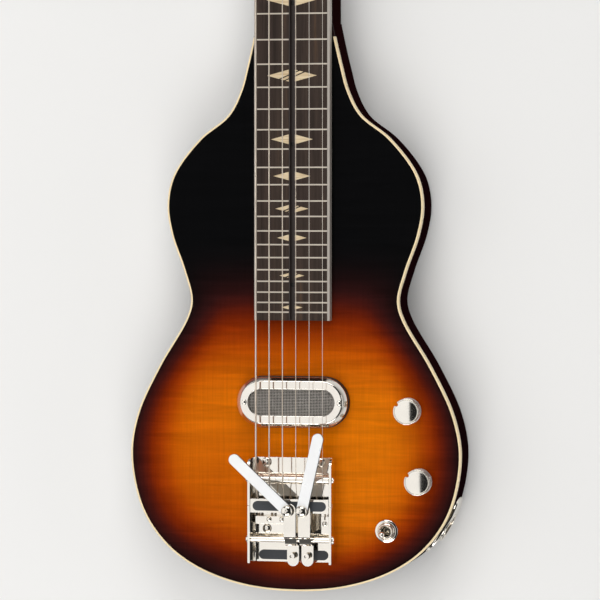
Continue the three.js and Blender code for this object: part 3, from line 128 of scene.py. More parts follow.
# Materials
class Look:
    """A node material with a few helpers, driven by the object's own coordinates."""

    def __init__(self, name, rough, metal=0.0, specular=0.5):
        self.material = bpy.data.materials.new(name)
        self.material.use_nodes = True
        self.tree = self.material.node_tree
        self.shader = self.tree.nodes["Principled BSDF"]
        self.shader.inputs["Roughness"].default_value = rough
        self.shader.inputs["Metallic"].default_value = metal
        self.shader.inputs["Specular IOR Level"].default_value = specular
        self.place = self.tree.nodes.new("ShaderNodeTexCoord").outputs["Object"]

    def node(self, kind, **settings):
        made = self.tree.nodes.new(kind)
        for key, value in settings.items():
            setattr(made, key, value)
        return made

    def link(self, source, target):
        if isinstance(source, (int, float)):
            target.default_value = source
        else:
            self.tree.links.new(source, target)

    def math(self, operation, first, second=0.0, third=None):
        made = self.node("ShaderNodeMath", operation=operation)
        self.link(first, made.inputs[0])
        self.link(second, made.inputs[1])
        if third is not None:
            self.link(third, made.inputs[2])
        return made.outputs[0]

    def axes(self, vector):
        split = self.node("ShaderNodeSeparateXYZ")
        self.link(vector, split.inputs["Vector"])
        return [split.outputs[axis] for axis in "XYZ"]

    def noise(self, scale, detail=3.0, distortion=0.0):
        """Cloudy noise, its scale one number or one for each axis."""
        stretch, scale = (scale, 1.0) if isinstance(scale, tuple) else ((1.0, 1.0, 1.0), scale)
        mapping = self.node("ShaderNodeMapping")
        mapping.inputs["Scale"].default_value = stretch
        self.link(self.place, mapping.inputs["Vector"])
        made = self.node("ShaderNodeTexNoise")
        for key, number in (("Scale", scale), ("Detail", detail), ("Distortion", distortion)):
            made.inputs[key].default_value = number
        self.link(mapping.outputs[0], made.inputs["Vector"])
        return made.outputs["Fac"]

    def spread(self, value, low, high, to_low, to_high):
        made = self.node("ShaderNodeMapRange", clamp=True)
        for key, number in zip(("From Min", "From Max", "To Min", "To Max"), (low, high, to_low, to_high)):
            made.inputs[key].default_value = number
        self.link(value, made.inputs["Value"])
        return made.outputs["Result"]

    def vary(self, noise, to_low, to_high):
        """Stretches the middle of a noise over a range."""
        return self.spread(noise, 0.3, 0.7, to_low, to_high)

    def curve(self, value, points):
        """Reads a value off a curve through (place across, height) points."""
        made = self.node("ShaderNodeFloatCurve")
        curve = made.mapping.curves[0]
        while len(curve.points) < len(points):
            curve.points.new(0.5, 0.5)
        for point, place in zip(curve.points, points):
            point.location = place
            point.handle_type = "AUTO"
        made.mapping.update()
        self.link(value, made.inputs["Value"])
        return made.outputs[0]

    def ramp(self, value, stops):
        made = self.node("ShaderNodeValToRGB")
        set_stops(made.color_ramp, [(position, linear(color)) for position, color in stops])
        self.link(value, made.inputs["Fac"])
        return made.outputs["Color"]

    def mix(self, factor, first, second, blend="MIX"):
        made = self.node("ShaderNodeMix", data_type="RGBA", blend_type=blend)
        self.link(factor, made.inputs["Factor"])
        for color, target in ((first, made.inputs["A"]), (second, made.inputs["B"])):
            if isinstance(color, tuple):
                target.default_value = (*linear(color), 1.0)
            else:
                self.link(color, target)
        return made.outputs["Result"]

    def bump(self, height, strength, distance):
        made = self.node("ShaderNodeBump")
        made.inputs["Strength"].default_value = strength
        made.inputs["Distance"].default_value = distance
        self.link(height, made.inputs["Height"])
        self.link(made.outputs["Normal"], self.shader.inputs["Normal"])
        return made

    def color(self, value):
        self.link(value, self.shader.inputs["Base Color"])

    def rough(self, value):
        self.link(value, self.shader.inputs["Roughness"])

    def glancing_gloss(self, low, high, to_low, to_high):
        """Sets the mirror strength by how much a face turns away from the view."""
        facing = self.node("ShaderNodeLayerWeight").outputs["Facing"]
        gloss = self.spread(facing, low, high, to_low, to_high)
        self.link(gloss, self.shader.inputs["Specular IOR Level"])


def set_stops(ramp, stops):
    """Sets a colour ramp's stops, each a position and a colour."""
    while len(ramp.elements) < len(stops):
        ramp.elements.new(1.0)
    for element, (position, color) in zip(ramp.elements, stops):
        element.position = position
        element.color = (*color, 1.0)


def linear(color):
    """Colour as seen on screen, 0 to 255, to the values that a shader takes."""
    shares = [c / 255 for c in color]
    return tuple(s / 12.92 if s <= 0.04045 else ((s + 0.055) / 1.055) ** 2.4 for s in shares)


def dimmed(color, share):
    return tuple(c * share for c in color)


def metal(name, color, rough, wear=0.03, edge=0.25 * MM):
    """Metal with faint polishing marks, a little uneven gloss and softened edges."""
    look = Look(name, rough, metal=1.0)
    marks = look.noise(900.0, 2.0)
    clouds = look.noise(60.0)
    look.color(look.mix(clouds, color, dimmed(color, 0.93)))
    look.rough(look.vary(clouds, rough, rough + wear))
    bump = look.bump(marks, 0.04, 0.05 * MM)
    if edge:
        bevel = look.node("ShaderNodeBevel", samples=4)
        bevel.inputs["Radius"].default_value = edge
        look.link(bevel.outputs["Normal"], bump.inputs["Normal"])
    return look.material


def lever_look():
    """Matte silver faces, with fully metallic sides and edges painted dark brown-grey: painted shade and
    painted dark reflection.
    """
    look = Look("satin_lever", 0.3)
    upward = look.axes(look.tree.nodes["Texture Coordinate"].outputs["Normal"])[2]
    face = look.spread(look.math("ABSOLUTE", upward), 0.45, 0.8, 0.0, 1.0)
    clouds = look.noise(60.0)
    silver = look.mix(clouds, (250, 250, 249), (236, 236, 236))
    # Sides and rounded edges take a dark brown-grey here: painted shade and reflection on the lever's edges.
    # The faces stay silver.
    look.color(look.mix(face, (66, 60, 54), silver))
    look.link(look.spread(face, 0.0, 1.0, 1.0, 0.32), look.shader.inputs["Metallic"])
    look.rough(look.vary(clouds, 0.27, 0.34))
    look.bump(look.noise(900.0, 2.0), 0.04, 0.05 * MM)
    return look.material


def brushed(name, color, rough, stretch):
    """Metal brushed along one way of the object."""
    look = Look(name, rough, metal=1.0)
    lines = look.noise(stretch, 4.0)
    look.color(look.mix(lines, color, dimmed(color, 0.86)))
    look.rough(look.vary(lines, rough - 0.04, rough + 0.08))
    look.bump(lines, 0.12, 0.04 * MM)
    return look.material


def plastic(name, color, rough, grain=300.0, strength=0.1):
    look = Look(name, rough)
    clouds = look.noise(40.0)
    fine = look.noise(grain, 2.0)
    look.color(look.mix(clouds, color, dimmed(color, 0.9)))
    look.rough(look.vary(fine, rough - 0.03, rough + 0.05))
    look.bump(fine, strength, 0.05 * MM)
    return look.material


def sunburst():
    """Flamed maple under an amber lacquer that darkens to the edge and over the upper bout."""
    look = Look("sunburst_top", 0.1, specular=0.05)
    wobble = look.noise(9.0, 2.0)
    x, y = look.axes(look.place)[:2]
    side = look.math("ABSOLUTE", x)

    # Below the widest line the fade is round, and above that line it follows the sides
    fade_top = WIDEST + 200 * MM
    power = 2.2
    down = look.math("MINIMUM", look.math("SUBTRACT", y, WIDEST), 0.0)
    across = look.math("POWER", look.math("DIVIDE", side, LOWER), power)
    along = look.math("POWER", look.math("DIVIDE", look.math("ABSOLUTE", down), WIDEST - TAIL), power)
    round_share = look.math("POWER", look.math("ADD", across, along), 1 / power)
    places = [step / 20 for step in range(21)]
    widths = [(place, half_width(WIDEST + (fade_top - WIDEST) * place) / LOWER) for place in places]
    width = look.curve(look.spread(y, WIDEST, fade_top, 0.0, 1.0), widths)
    side_share = look.math("DIVIDE", look.math("DIVIDE", side, LOWER), width)
    above = look.math("GREATER_THAN", y, WIDEST)
    share = look.math("MULTIPLY_ADD", above, look.math("SUBTRACT", side_share, round_share), round_share)
    share = look.math("ADD", share, look.vary(wobble, -0.012, 0.012))
    edge_fade = look.curve(share, [
        (0.0, 1.0), (0.5, 1.0), (0.6, 0.96), (0.668, 0.9), (0.726, 0.8), (0.769, 0.7), (0.812, 0.6),
        (0.856, 0.5), (0.895, 0.39), (0.935, 0.29), (0.965, 0.2), (1.0, 0.02),
    ])
    height = look.math("ADD", y, look.vary(wobble, -2.5 * MM, 2.5 * MM))
    neck_fade = look.curve(look.spread(height, 8 * MM, 208 * MM, 0.0, 1.0), [
        (0.0, 1.0), (0.27, 1.0), (0.34, 0.92), (0.39, 0.86), (0.43, 0.79), (0.473, 0.73), (0.535, 0.61),
        (0.596, 0.5), (0.637, 0.41), (0.678, 0.31), (0.72, 0.205), (0.77, 0.1), (0.84, 0.02), (0.92, 0.0),
        (1.0, 0.0),
    ])
    beside = look.math("ABSOLUTE", look.math("ADD", x, 56 * MM))
    deeper = look.math("MULTIPLY", look.spread(beside, 12 * MM, 66 * MM, 1.0, 0.15),
                       look.spread(y, -72 * MM, 80 * MM, 0.27, 0.06))
    level = look.math("MULTIPLY", edge_fade, neck_fade)
    level = look.math("MULTIPLY", level, look.math("SUBTRACT", 1.0, deeper))
    burst = look.ramp(level, [
        (0.0, (8, 8, 9)), (0.1, (27, 11, 11)), (0.2, (44, 16, 15)), (0.3, (64, 19, 13)), (0.4, (93, 26, 7)),
        (0.5, (121, 37, 2)), (0.6, (147, 53, 3)), (0.7, (168, 69, 2)), (0.8, (187, 86, 3)),
        (0.9, (200, 98, 4)), (1.0, (210, 109, 4)),
    ])
    grain = look.noise((900.0, 26.0, 30.0), 3.0, 0.4)
    flame = look.noise((14.0, 170.0, 14.0), 3.0, 0.5)
    figure = look.noise((45.0, 620.0, 45.0), 2.0, 0.3)
    patches = look.noise((14.0, 22.0, 14.0), 2.0)
    flame = look.math("MULTIPLY_ADD", look.math("SUBTRACT", flame, 0.5),
                      look.spread(patches, 0.35, 0.65, 0.5, 1.7), 0.5)
    shade = look.math("MULTIPLY", look.vary(grain, 0.92, 1.06), look.vary(flame, 0.84, 1.12))
    shade = look.math("MULTIPLY", shade, look.vary(figure, 0.95, 1.04))
    bright = look.node("ShaderNodeCombineXYZ")
    for socket in bright.inputs:
        look.link(shade, socket)
    look.color(look.mix(1.0, burst, bright.outputs[0], "MULTIPLY"))
    look.glancing_gloss(0.04, 0.4, 0.015, 0.3)
    look.rough(look.vary(look.noise(14.0), 0.08, 0.13))
    look.bump(look.noise(35.0, 2.0), 0.02, 0.2 * MM)
    return look.material


def dark_lacquer():
    look = Look("dark_lacquer", 0.1)
    look.glancing_gloss(0.4, 0.75, 0.2, 0.0)
    grain = look.noise((500.0, 14.0, 500.0), 3.0, 0.3)
    clouds = look.noise(12.0, 2.0)
    red = look.mix(look.spread(clouds, 0.35, 0.65, 0.0, 1.0), (34, 10, 12), (22, 6, 9))
    look.color(look.mix(look.spread(grain, 0.3, 0.8, 0.0, 0.55), red, (14, 5, 7)))
    look.rough(look.vary(clouds, 0.08, 0.13))
    look.bump(look.noise(30.0, 2.0), 0.02, 0.2 * MM)
    return look.material


def rosewood():
    look = Look("rosewood", 0.42, specular=0.12)
    streak = look.noise((260.0, 9.0, 260.0), 4.0, 0.6)
    pores = look.noise((2200.0, 90.0, 2200.0), 2.0)
    wood = look.ramp(look.spread(streak, 0.3, 0.72, 0.0, 1.0), [
        (0.0, (44, 35, 30)), (0.45, (57, 46, 40)), (0.8, (66, 53, 45)), (1.0, (76, 58, 45)),
    ])
    look.color(look.mix(look.spread(pores, 0.58, 0.72, 0.0, 0.6), wood, (32, 25, 22)))
    look.rough(look.vary(streak, 0.38, 0.5))
    look.bump(pores, 0.25, 0.08 * MM)
    return look.material


def inlay_wood():
    look = Look("inlay_wood", 0.35, specular=0.4)
    grain = look.noise((60.0, 1500.0, 60.0), 3.0, 0.4)
    look.color(look.ramp(look.vary(grain, 0.0, 1.0), [
        (0.0, (186, 158, 120)), (0.5, (212, 190, 153)), (1.0, (227, 208, 174)),
    ]))
    look.rough(look.vary(grain, 0.3, 0.42))
    return look.material


def string_steel(name, color, dark=None, pitch=0.0):
    """Drawn wire, or wire with a round winding of the given pitch, its grooves between turns painted darker
    as painted shade.
    """
    look = Look(name, 0.3, metal=0.65)
    clouds = look.noise(25.0)
    base = look.mix(look.vary(clouds, 0.0, 1.0), color, dimmed(color, 0.88))
    if pitch:
        along = look.axes(look.place)[1]
        turns = look.math("SINE", look.math("MULTIPLY", along, 2 * pi / pitch))
        # Between the turns the colour goes towards the darker one: painted shade in the grooves of the
        # winding.
        base = look.mix(look.spread(turns, -1.0, 0.2, 0.7, 0.0), base, dark)
        look.bump(turns, 0.5, pitch * 0.2)
    look.color(base)
    look.rough(look.vary(clouds, 0.26, 0.36))
    return look.material


NICKEL = metal("nickel", (244, 238, 228), 0.06)
NICKEL_FINE = metal("nickel_fine", (244, 238, 228), 0.06, edge=0.0)
SATIN = lever_look()
STEEL = metal("satin_steel", (205, 203, 198), 0.28, 0.08)
DARK_METAL = metal("dark_socket", (60, 54, 48), 0.3, 0.1, edge=0.0)
MESH = brushed("mesh_wire", (204, 198, 190), 0.42, (300.0, 300.0, 300.0))
CREAM = plastic("cream_binding", (252, 228, 182), 0.28)
BOARD_EDGE = plastic("board_edge", (176, 167, 157), 0.32)
FRET_LINE = plastic("fret_line", (202, 190, 174), 0.35)
BLACK = plastic("black_plastic", (28, 27, 27), 0.45)
RUBBER = plastic("black_rubber", (64, 66, 69), 0.75, 700.0, 0.3)
# Rail screw heads in near black: partly their own dark finish, partly painted shade so that they read as dark
# holes in the groove.
RAIL_DARK = plastic("rail_screw", (9, 8, 8), 0.5)
LACQUER = dark_lacquer()
TOP = sunburst()
INLAY = inlay_wood()
WOUND = string_steel("wound_steel", (240, 226, 208), (160, 142, 124), 0.5 * MM)
TWIST = metal("twisted_wire", (176, 158, 134), 0.3, 0.08, edge=0.0)
PLAIN = string_steel("plain_steel", (244, 234, 222))

FINISHES = {
    "dark_lacquer": LACQUER,
    "sunburst_top": TOP,
    "cream_binding": CREAM,
    "rosewood": rosewood(),
    "pearl": plastic("nut_pearl", (226, 208, 172), 0.25, 90.0),
    "rail_alloy": plastic("rail_alloy", (52, 42, 38), 0.4),
    "nickel": NICKEL,
    "satin_steel": STEEL,
    "mesh_steel": MESH,
    "black_plastic": BLACK,
    "black_rubber": RUBBER,
    "wound_steel": WOUND,
    "plain_steel": PLAIN,
}
for part in frame["record"]["subparts"]:
    mesh = nodes[part["node"]].data
    mesh.materials.clear()
    mesh.materials.append(FINISHES[part["material_slot"]])
for name in ("board_binding_bass", "board_binding_treble"):
    nodes[name].data.materials[0] = BOARD_EDGE


# Mesh helpers
def in_scene(name, data):
    """A new object that shows in the scene."""
    made = bpy.data.objects.new(name, data)
    bpy.context.scene.collection.objects.link(made)
    return made


def piece(name, verts, faces, material, body=ROOT, slot="nickel", smooth=30.0):
    """A new object that rides on a body, in the given material; the slot argument is not used."""
    mesh = bpy.data.meshes.new(name)
    mesh.from_pydata([tuple(v) for v in verts], [], faces)
    mesh.validate()
    made = in_scene(name, mesh)
    work = bmesh.new()
    work.from_mesh(mesh)
    bmesh.ops.remove_doubles(work, verts=work.verts, dist=1e-7)
    bmesh.ops.recalc_face_normals(work, faces=work.faces)
    work.to_mesh(mesh)
    work.free()
    mesh.materials.append(material)
    mesh.shade_smooth()
    mesh.set_sharp_from_angle(angle=radians(smooth))
    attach(made, body)
    return made


def soften(made, width, segments=3):
    """Rounds the sharp edges of an object."""
    edge = made.modifiers.new("edge", "BEVEL")
    edge.width = width
    edge.segments = segments
    edge.limit_method = "ANGLE"
    edge.angle_limit = radians(30)
    edge.harden_normals = True
    return made


def shift(points, place, turn=None):
    """Moves points to a place, after an optional turn by a matrix."""
    turn = turn or Matrix.Identity(3)
    return [turn @ Vector(p) + Vector(place) for p in points]


def mm(rows):
    """Rows of millimetres as metres."""
    return [tuple(value * MM for value in row) for row in rows]


def loft(rings, closed=True):
    """Points and faces through rings of points, with flat ends where closed."""
    count = len(rings[0])
    verts = [point for ring in rings for point in ring]
    last = len(verts) - count
    faces = []
    for start in range(0, last, count):
        for step in range(count):
            a, b = start + step, start + (step + 1) % count
            faces.append((a, b, b + count, a + count))
    if closed:
        faces += [tuple(range(count))[::-1], tuple(range(last, last + count))]
    return verts, faces


def round_angles(steps):
    return [2 * pi * step / steps for step in range(steps)]


def lathe(profile, steps=48):
    """A form turned about Z from (radius, height) pairs in millimetres."""
    angles = round_angles(steps)
    return loft([[(radius * cos(angle), radius * sin(angle), height) for angle in angles]
                 for radius, height in mm(profile)], False)


def turned(name, profile, place, turn=None, steps=48, material=NICKEL_FINE, **more):
    """A piece turned on a lathe, its profile in millimetres, set at a place."""
    verts, faces = lathe(profile, steps)
    return piece(name, shift(verts, place, turn), faces, material, **more)


def arc(centre, radius, start, end, steps):
    """Points on an arc, its angles in degrees."""
    return [
        (centre[0] + radius * cos(radians(start + (end - start) * i / steps)),
         centre[1] + radius * sin(radians(start + (end - start) * i / steps)))
        for i in range(steps + 1)
    ]


def unit_arc(start, end, steps):
    """Cosine and sine along an arc, its angles in degrees."""
    return arc((0, 0), 1.0, start, end, steps)


def obround(length, width, steps=24):
    radius, reach = width / 2, (length - width) / 2
    return arc((reach, 0), radius, -90, 90, steps) + arc((-reach, 0), radius, 90, 270, steps)


def slab(points, low, high):
    """A prism over a plan outline."""
    return loft([[(x, y, height) for x, y in points] for height in (low, high)])


def merged(parts):
    """Several point and face lists as one."""
    verts, faces = [], []
    for more_verts, more_faces in parts:
        base = len(verts)
        verts += list(more_verts)
        faces += [tuple(index + base for index in face) for face in more_faces]
    return verts, faces


def tube(points, radius, sides=12, closed=True):
    """A round wire through points."""
    rings = []
    side = Vector((1, 0, 0))
    for index, point in enumerate(points):
        before = Vector(points[max(index - 1, 0)])
        after = Vector(points[min(index + 1, len(points) - 1)])
        along = (after - before).normalized()
        side = (side - along * side.dot(along)).normalized()
        other = along.cross(side)
        rings.append([Vector(point) + side * radius * cos(angle) + other * radius * sin(angle)
                      for angle in round_angles(sides)])
    return loft(rings, closed)


def cut_away(made, parts, smooth=30.0):
    """Cuts solids, each given as points and faces, out of an object."""
    for verts, faces in parts:
        cutter_mesh = bpy.data.meshes.new("cutter")
        cutter_mesh.from_pydata([tuple(v) for v in verts], [], faces)
        cutter = in_scene("cutter", cutter_mesh)
        cut = made.modifiers.new("cut", "BOOLEAN")
        cut.operation = "DIFFERENCE"
        cut.solver = "EXACT"
        cut.object = cutter
        bpy.context.view_layer.update()
        cut_form = made.evaluated_get(bpy.context.evaluated_depsgraph_get())
        solid = bpy.data.meshes.new_from_object(cut_form)
        made.modifiers.clear()
        made.data = solid
        bpy.data.objects.remove(cutter)
    made.data.shade_smooth()
    made.data.set_sharp_from_angle(angle=radians(smooth))
    return made


def cross_recess(made, place, reach, depth, turn=None, arms=2):
    """Cuts a crossed recess, or one slot, into a screw head, its reach and depth in millimetres."""
    square = ((-1, -1), (1, -1), (1, 1), (-1, 1))
    rows = ((reach * 0.55, reach * 0.14, -depth), (reach, reach * 0.2, depth * 3))
    verts, faces = loft([mm([(x * wide, y * narrow, height) for x, y in square])
                         for wide, narrow, height in rows])
    parts = []
    for arm in range(arms):
        spin = Matrix.Rotation(pi / 2 * arm + 0.5, 3, "Z")
        parts.append((shift([spin @ Vector(corner) for corner in verts], place, turn), faces))
    return cut_away(made, parts)


def screw(name, place, radius, height, turn=None, arms=2, slot="nickel", sink=0.4):
    """A round-headed screw that stands at a place, its measures in millimetres."""
    shoulder = 0.35
    profile = [(0, -sink), (radius, -sink), (radius, height * shoulder)]
    profile += [(radius * cosine, height * (shoulder + (1 - shoulder) * sine))
                for cosine, sine in unit_arc(0, 90, 6)[1:-1]]
    profile.append((0, height))
    made = turned(name, profile, place, turn, 32, slot=slot)
    top = (turn or Matrix.Identity(3)) @ Vector((0, 0, height * MM))
    return cross_recess(made, Vector(place) + top, radius * 0.55, height * 0.45, turn, arms)


# Body with a smooth outline
def bar_between(first, second, radius, low, high):
    """A round-ended bar between two places in plan."""
    across, along = second[0] - first[0], second[1] - first[1]
    heading = atan2(along, across)
    outline = obround(hypot(across, along) + radius * 2, radius * 2)
    verts, faces = slab(outline, low, high)
    centre = ((first[0] + second[0]) / 2, (first[1] + second[1]) / 2, 0)
    return shift(verts, centre, Matrix.Rotation(heading, 3, "Z")), faces


volume_at = (96 * MM, 53.5 * MM)
tone_at = (105 * MM, -4 * MM)
toggle_at = (77.4 * MM, -45.5 * MM)
jack_at = Vector((122.69 * MM, -43 * MM, 19.25 * MM))
jack_out = Vector((0.868, -0.496, 0)).normalized()
jack_turn = jack_out.to_track_quat("Z", "Y").to_matrix()
BELOW_BODY, ABOVE_BODY = -5 * MM, 50 * MM


def jack_bore(radius, depth):
    """A round bore into the side of the body at the jack."""
    outline = arc((0, 0), radius, 0, 352.5, 47)
    return loft([shift([(x, y, height) for x, y in outline], jack_at, jack_turn)
                 for height in (-depth, 6 * MM)])


def pickup_pocket(low):
    return slab([(x, y + PICKUP_Y) for x, y in obround(84 * MM, 34 * MM)], low, ABOVE_BODY)


def edge_strip(name, first, last, material, slot):
    """A length of the strip along the top edge, between two places on the outline."""
    low = SHELL_TOP + 0.1 * MM
    edge = 0.6 * MM
    section = [(0, low)]
    section += [(edge * (1 - cosine), BODY_TOP - edge * (1 - sine))
                for cosine, sine in unit_arc(0, 90, 4)]
    section += [(BINDING_WIDTH, BODY_TOP), (BINDING_WIDTH, low)]
    lines = [inset_outline(inset)[first:last] for inset, height in section]
    rings = [[(*point, height) for point, (inset, height) in zip(ring, section)] for ring in zip(*lines)]
    return piece(name, *loft(rings), material, slot=slot, smooth=50)


def body():
    back_edge = 5 * MM
    rings = [[(x, y, back_edge * (1 - cosine)) for x, y in inset_outline(back_edge * (1 - sine))]
             for cosine, sine in unit_arc(0, 90, 8)]
    rings.append([(x, y, SHELL_TOP) for x, y in inset_outline(0)])
    shell = piece("body_sides", *loft(rings), LACQUER, slot="dark_lacquer", smooth=40)
    cover_radius, cover_depth, pocket_floor = 21 * MM, 2.5 * MM, 20 * MM
    cut_away(shell, [bar_between(volume_at, tone_at, cover_radius, BELOW_BODY, cover_depth),
                     bar_between(tone_at, toggle_at, cover_radius, BELOW_BODY, cover_depth),
                     pickup_pocket(pocket_floor),
                     bar_between(toggle_at, toggle_at, 10 * MM, pocket_floor, ABOVE_BODY),
                     jack_bore(12.8 * MM, 7.4 * MM), jack_bore(5.6 * MM, 24 * MM)], 40)
    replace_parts(shell, "body_shell")

    outline = inset_outline(BINDING_WIDTH + 0.05 * MM)
    plate = piece("top_plate", *slab(outline, SHELL_TOP + 0.1 * MM, BODY_TOP), TOP, slot="sunburst_top",
                  smooth=40)
    below_plate = 30 * MM
    cut_away(plate, [pickup_pocket(below_plate)] + [
        bar_between(at, at, radius * MM, below_plate, ABOVE_BODY)
        for at, radius in ((volume_at, 4.3), (tone_at, 4.3), (toggle_at, 6.1))], 40)
    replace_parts(plate, "body_top")

    heel = 6
    strip = edge_strip("binding_strip", heel - 1, len(OUTLINE) - heel + 1, CREAM, "cream_binding")
    edge_strip("heel_edge_bass", 0, heel, LACQUER, "dark_lacquer")
    edge_strip("heel_edge_treble", len(OUTLINE) - heel, len(OUTLINE), LACQUER, "dark_lacquer")
    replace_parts(strip, "body_binding")


body()


# Fingerboard marks
def fret_y(fret):
    return SCALE * 2 ** (-fret / 12)


def clip(points, place, normal):
    """The part of a polygon on the side of a line that its normal points away from."""
    kept = []
    for index, point in enumerate(points):
        after = points[(index + 1) % len(points)]
        here = (point[0] - place[0]) * normal[0] + (point[1] - place[1]) * normal[1]
        there = (after[0] - place[0]) * normal[0] + (after[1] - place[1]) * normal[1]
        if here <= 0:
            kept.append(point)
        if (here < 0 < there) or (there < 0 < here):
            share = here / (here - there)
            kept.append((point[0] + (after[0] - point[0]) * share, point[1] + (after[1] - point[1]) * share))
    return kept


def fret_lines():
    parts = []
    half = 0.58 * MM
    for fret in range(1, FRETS + 1):
        y = fret_y(fret)
        for side in (-1, 1):
            left, right = sorted((side * GROOVE_HALF, side * 29.38 * MM))
            outline = [(left, y - half), (right, y - half), (right, y + half), (left, y + half)]
            parts.append(slab(outline, BOARD_TOP - 1.3 * MM, BOARD_TOP + 0.03 * MM))
    return merged(parts)


def inlay_pieces():
    """Diamonds either side of the groove, some of them split in three by slanted cuts."""
    parts = []
    whole, split = (3, 5, 7, 9, 15, 17, 21, 27), (12, 19, 24)
    slant = radians(23)
    up, down = (sin(slant), -cos(slant)), (-sin(slant), cos(slant))
    for fret in whole + split:
        wide = min(21.5 * MM, (fret_y(fret - 1) - fret_y(fret)) * 1.1)
        tall = wide * 0.268
        y = (fret_y(fret - 1) + fret_y(fret)) / 2
        cut, gap = tall * 0.27, 0.5 * MM / cos(slant)
        for side in (-1, 1):
            half = clip([(-wide, 0), (0, -tall), (wide, 0), (0, tall)], (side * GROOVE_HALF, 0), (-side, 0))
            bands = [half]
            if fret in split:
                bands = [clip(half, (0, -cut - gap), down),
                         clip(clip(half, (0, gap - cut), up), (0, cut - gap), down),
                         clip(half, (0, cut + gap), up)]
            parts += [slab([(px, py + y) for px, py in band], BOARD_TOP - 1.1 * MM, BOARD_TOP + 0.02 * MM)
                      for band in bands if len(band) > 2]
    return merged(parts)


piece("fret_lines", *fret_lines(), FRET_LINE, slot="cream_binding")
piece("inlays", *inlay_pieces(), INLAY, slot="pearl")

first_screw, last_screw = 155.8 * MM, 616.6 * MM
for index in range(5):
    y = first_screw + (last_screw - first_screw) * index / 4
    profile = [(0, 0), (1.75, 0), (1.75, 0.25), (1.5, 0.38), (0, 0.38)]
    head = turned(f"rail_screw_{index + 1}", profile, (0, y, 50.1 * MM), steps=24, material=RAIL_DARK,
                  slot="rail_alloy")
    cross_recess(head, (0, y, 50.48 * MM), 0.9, 0.25)


# Strings, each in one smooth run from its ball end to its tuner
string_x = [(index - 2.5) * SPACING for index in range(6)]
tuner_at = [(side, side * (31 - 3 * row) * MM, (680 + 40 * row) * MM)
            for side in (-1, 1) for row in range(3)]
tuner_of = [0, 1, 2, 5, 4, 3]
bender_of = {3: "bender_1", 4: "bender_2"}
roller_y, roller_z = -3.3 * MM, 60.9 * MM


def string_route(index):
    """Points from the ball end over the roller and the nut and twice round the post."""
    radius = STRING_DIAMETERS[index] / 2
    x, z = string_x[index], STRING_REST + radius
    bent = index in bender_of
    end_y, end_z = (-51.6 * MM, BODY_TOP + 4.5 * MM) if bent else (-38.6 * MM, BODY_TOP + 6.2 * MM)
    wrap = z - roller_z
    reach = hypot(roller_y - end_y, roller_z - end_z)
    lean = asin(wrap / reach) + atan2(roller_z - end_z, roller_y - end_y)
    points = [(x, end_y, end_z)]
    for step in range(6, -1, -1):
        angle = lean * step / 6
        points.append((x, roller_y - wrap * sin(angle), roller_z + wrap * cos(angle)))
    points += [(x, SCALE, z), (x, NUT_BACK, z)]
    side, post_x, post_y = tuner_at[tuner_of[index]]
    turn_radius = POST_RADIUS + 0.3 * MM + radius
    away_x, away_y = x - post_x, NUT_BACK - post_y
    first = atan2(away_y, away_x) - side * acos(turn_radius / hypot(away_x, away_y))
    start = BODY_TOP + 12.5 * MM - radius
    windings, steps = 2, 40
    for step in range(windings * steps + 1):
        turn = step / steps
        angle = first - side * turn * 2 * pi
        points.append((post_x + turn_radius * cos(angle), post_y + turn_radius * sin(angle),
                       start - (radius * 2 + 0.45 * MM) * turn))
    return points


ball_profile = [(0.5, -1.7), (1.5, -1.7), (1.8, -1.3), (1.5, 0), (1.8, 1.3), (1.5, 1.7), (0.5, 1.7),
                (0.5, -1.7)]
for index, diameter in enumerate(STRING_DIAMETERS):
    route = string_route(index)
    wound = index < 4
    string = piece(f"string_run_{index + 1}", *tube(route, diameter / 2), WOUND if wound else PLAIN,
                   slot="wound_steel" if wound else "plain_steel")
    turned(f"ball_end_{index + 1}", ball_profile, route[0], ALONG_X, 32, STEEL,
           body=bender_of.get(index, ROOT), slot="satin_steel")
    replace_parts(string, f"string_{index + 1}")


def string_twists():
    """The wire of each string wound back round itself next to its ball end."""
    parts = []
    wire, turns, steps = 0.3 * MM, 17, 10
    side = Vector((1, 0, 0))
    for index, diameter in enumerate(STRING_DIAMETERS):
        start, after = (Vector(point) for point in string_route(index)[:2])
        along = (after - start).normalized()
        other = along.cross(side)
        reach = diameter / 2 + wire
        route = []
        for step in range(turns * steps + 1):
            angle = 2 * pi * step / steps
            route.append(start + along * (1.9 + 0.95 * step / steps) * MM
                         + side * reach * cos(angle) + other * reach * sin(angle))
        parts.append(tube(route, wire, 6))
    return merged(parts)


piece("string_twists", *string_twists(), TWIST, slot="wound_steel", smooth=60)


# Pickup
def slot_lathe(rows, steps=20):
    """A form through rounded slots round the pickup, each (radius, reach, height above the top) in mm."""
    rings = []
    for radius, reach, height in mm(rows):
        outline = obround(2 * (reach + radius), 2 * radius, steps)
        rings.append([(x, y + PICKUP_Y, BODY_TOP + height) for x, y in outline])
    return loft(rings, False)


def weave(length, width, level):
    """Wires over and under each other, across and along a rounded slot."""
    pitch, wire, wave = 1.25 * MM, 0.27 * MM, 0.17 * MM
    straight = (length - width) / 2
    parts = []
    for across, span in ((True, length), (False, width)):
        wires = int(span / pitch / 2)
        for number in range(-wires, wires + 1):
            off = number * pitch
            if across:
                half = sqrt(max((width / 2) ** 2 - max(abs(off) - straight, 0) ** 2, 0))
            else:
                half = straight + sqrt(max((width / 2) ** 2 - off ** 2, 0))
            if half <= pitch:
                continue
            route = []
            count = int(half * 4 / pitch)
            for step in range(count + 1):
                along = -half + 2 * half * step / count
                rise = wave * cos(pi * (along / pitch + number))
                if across:
                    route.append((off, PICKUP_Y + along, level + rise))
                else:
                    route.append((along, PICKUP_Y + off, level - rise))
            parts.append(tube(route, wire, 5, False))
    return merged(parts)


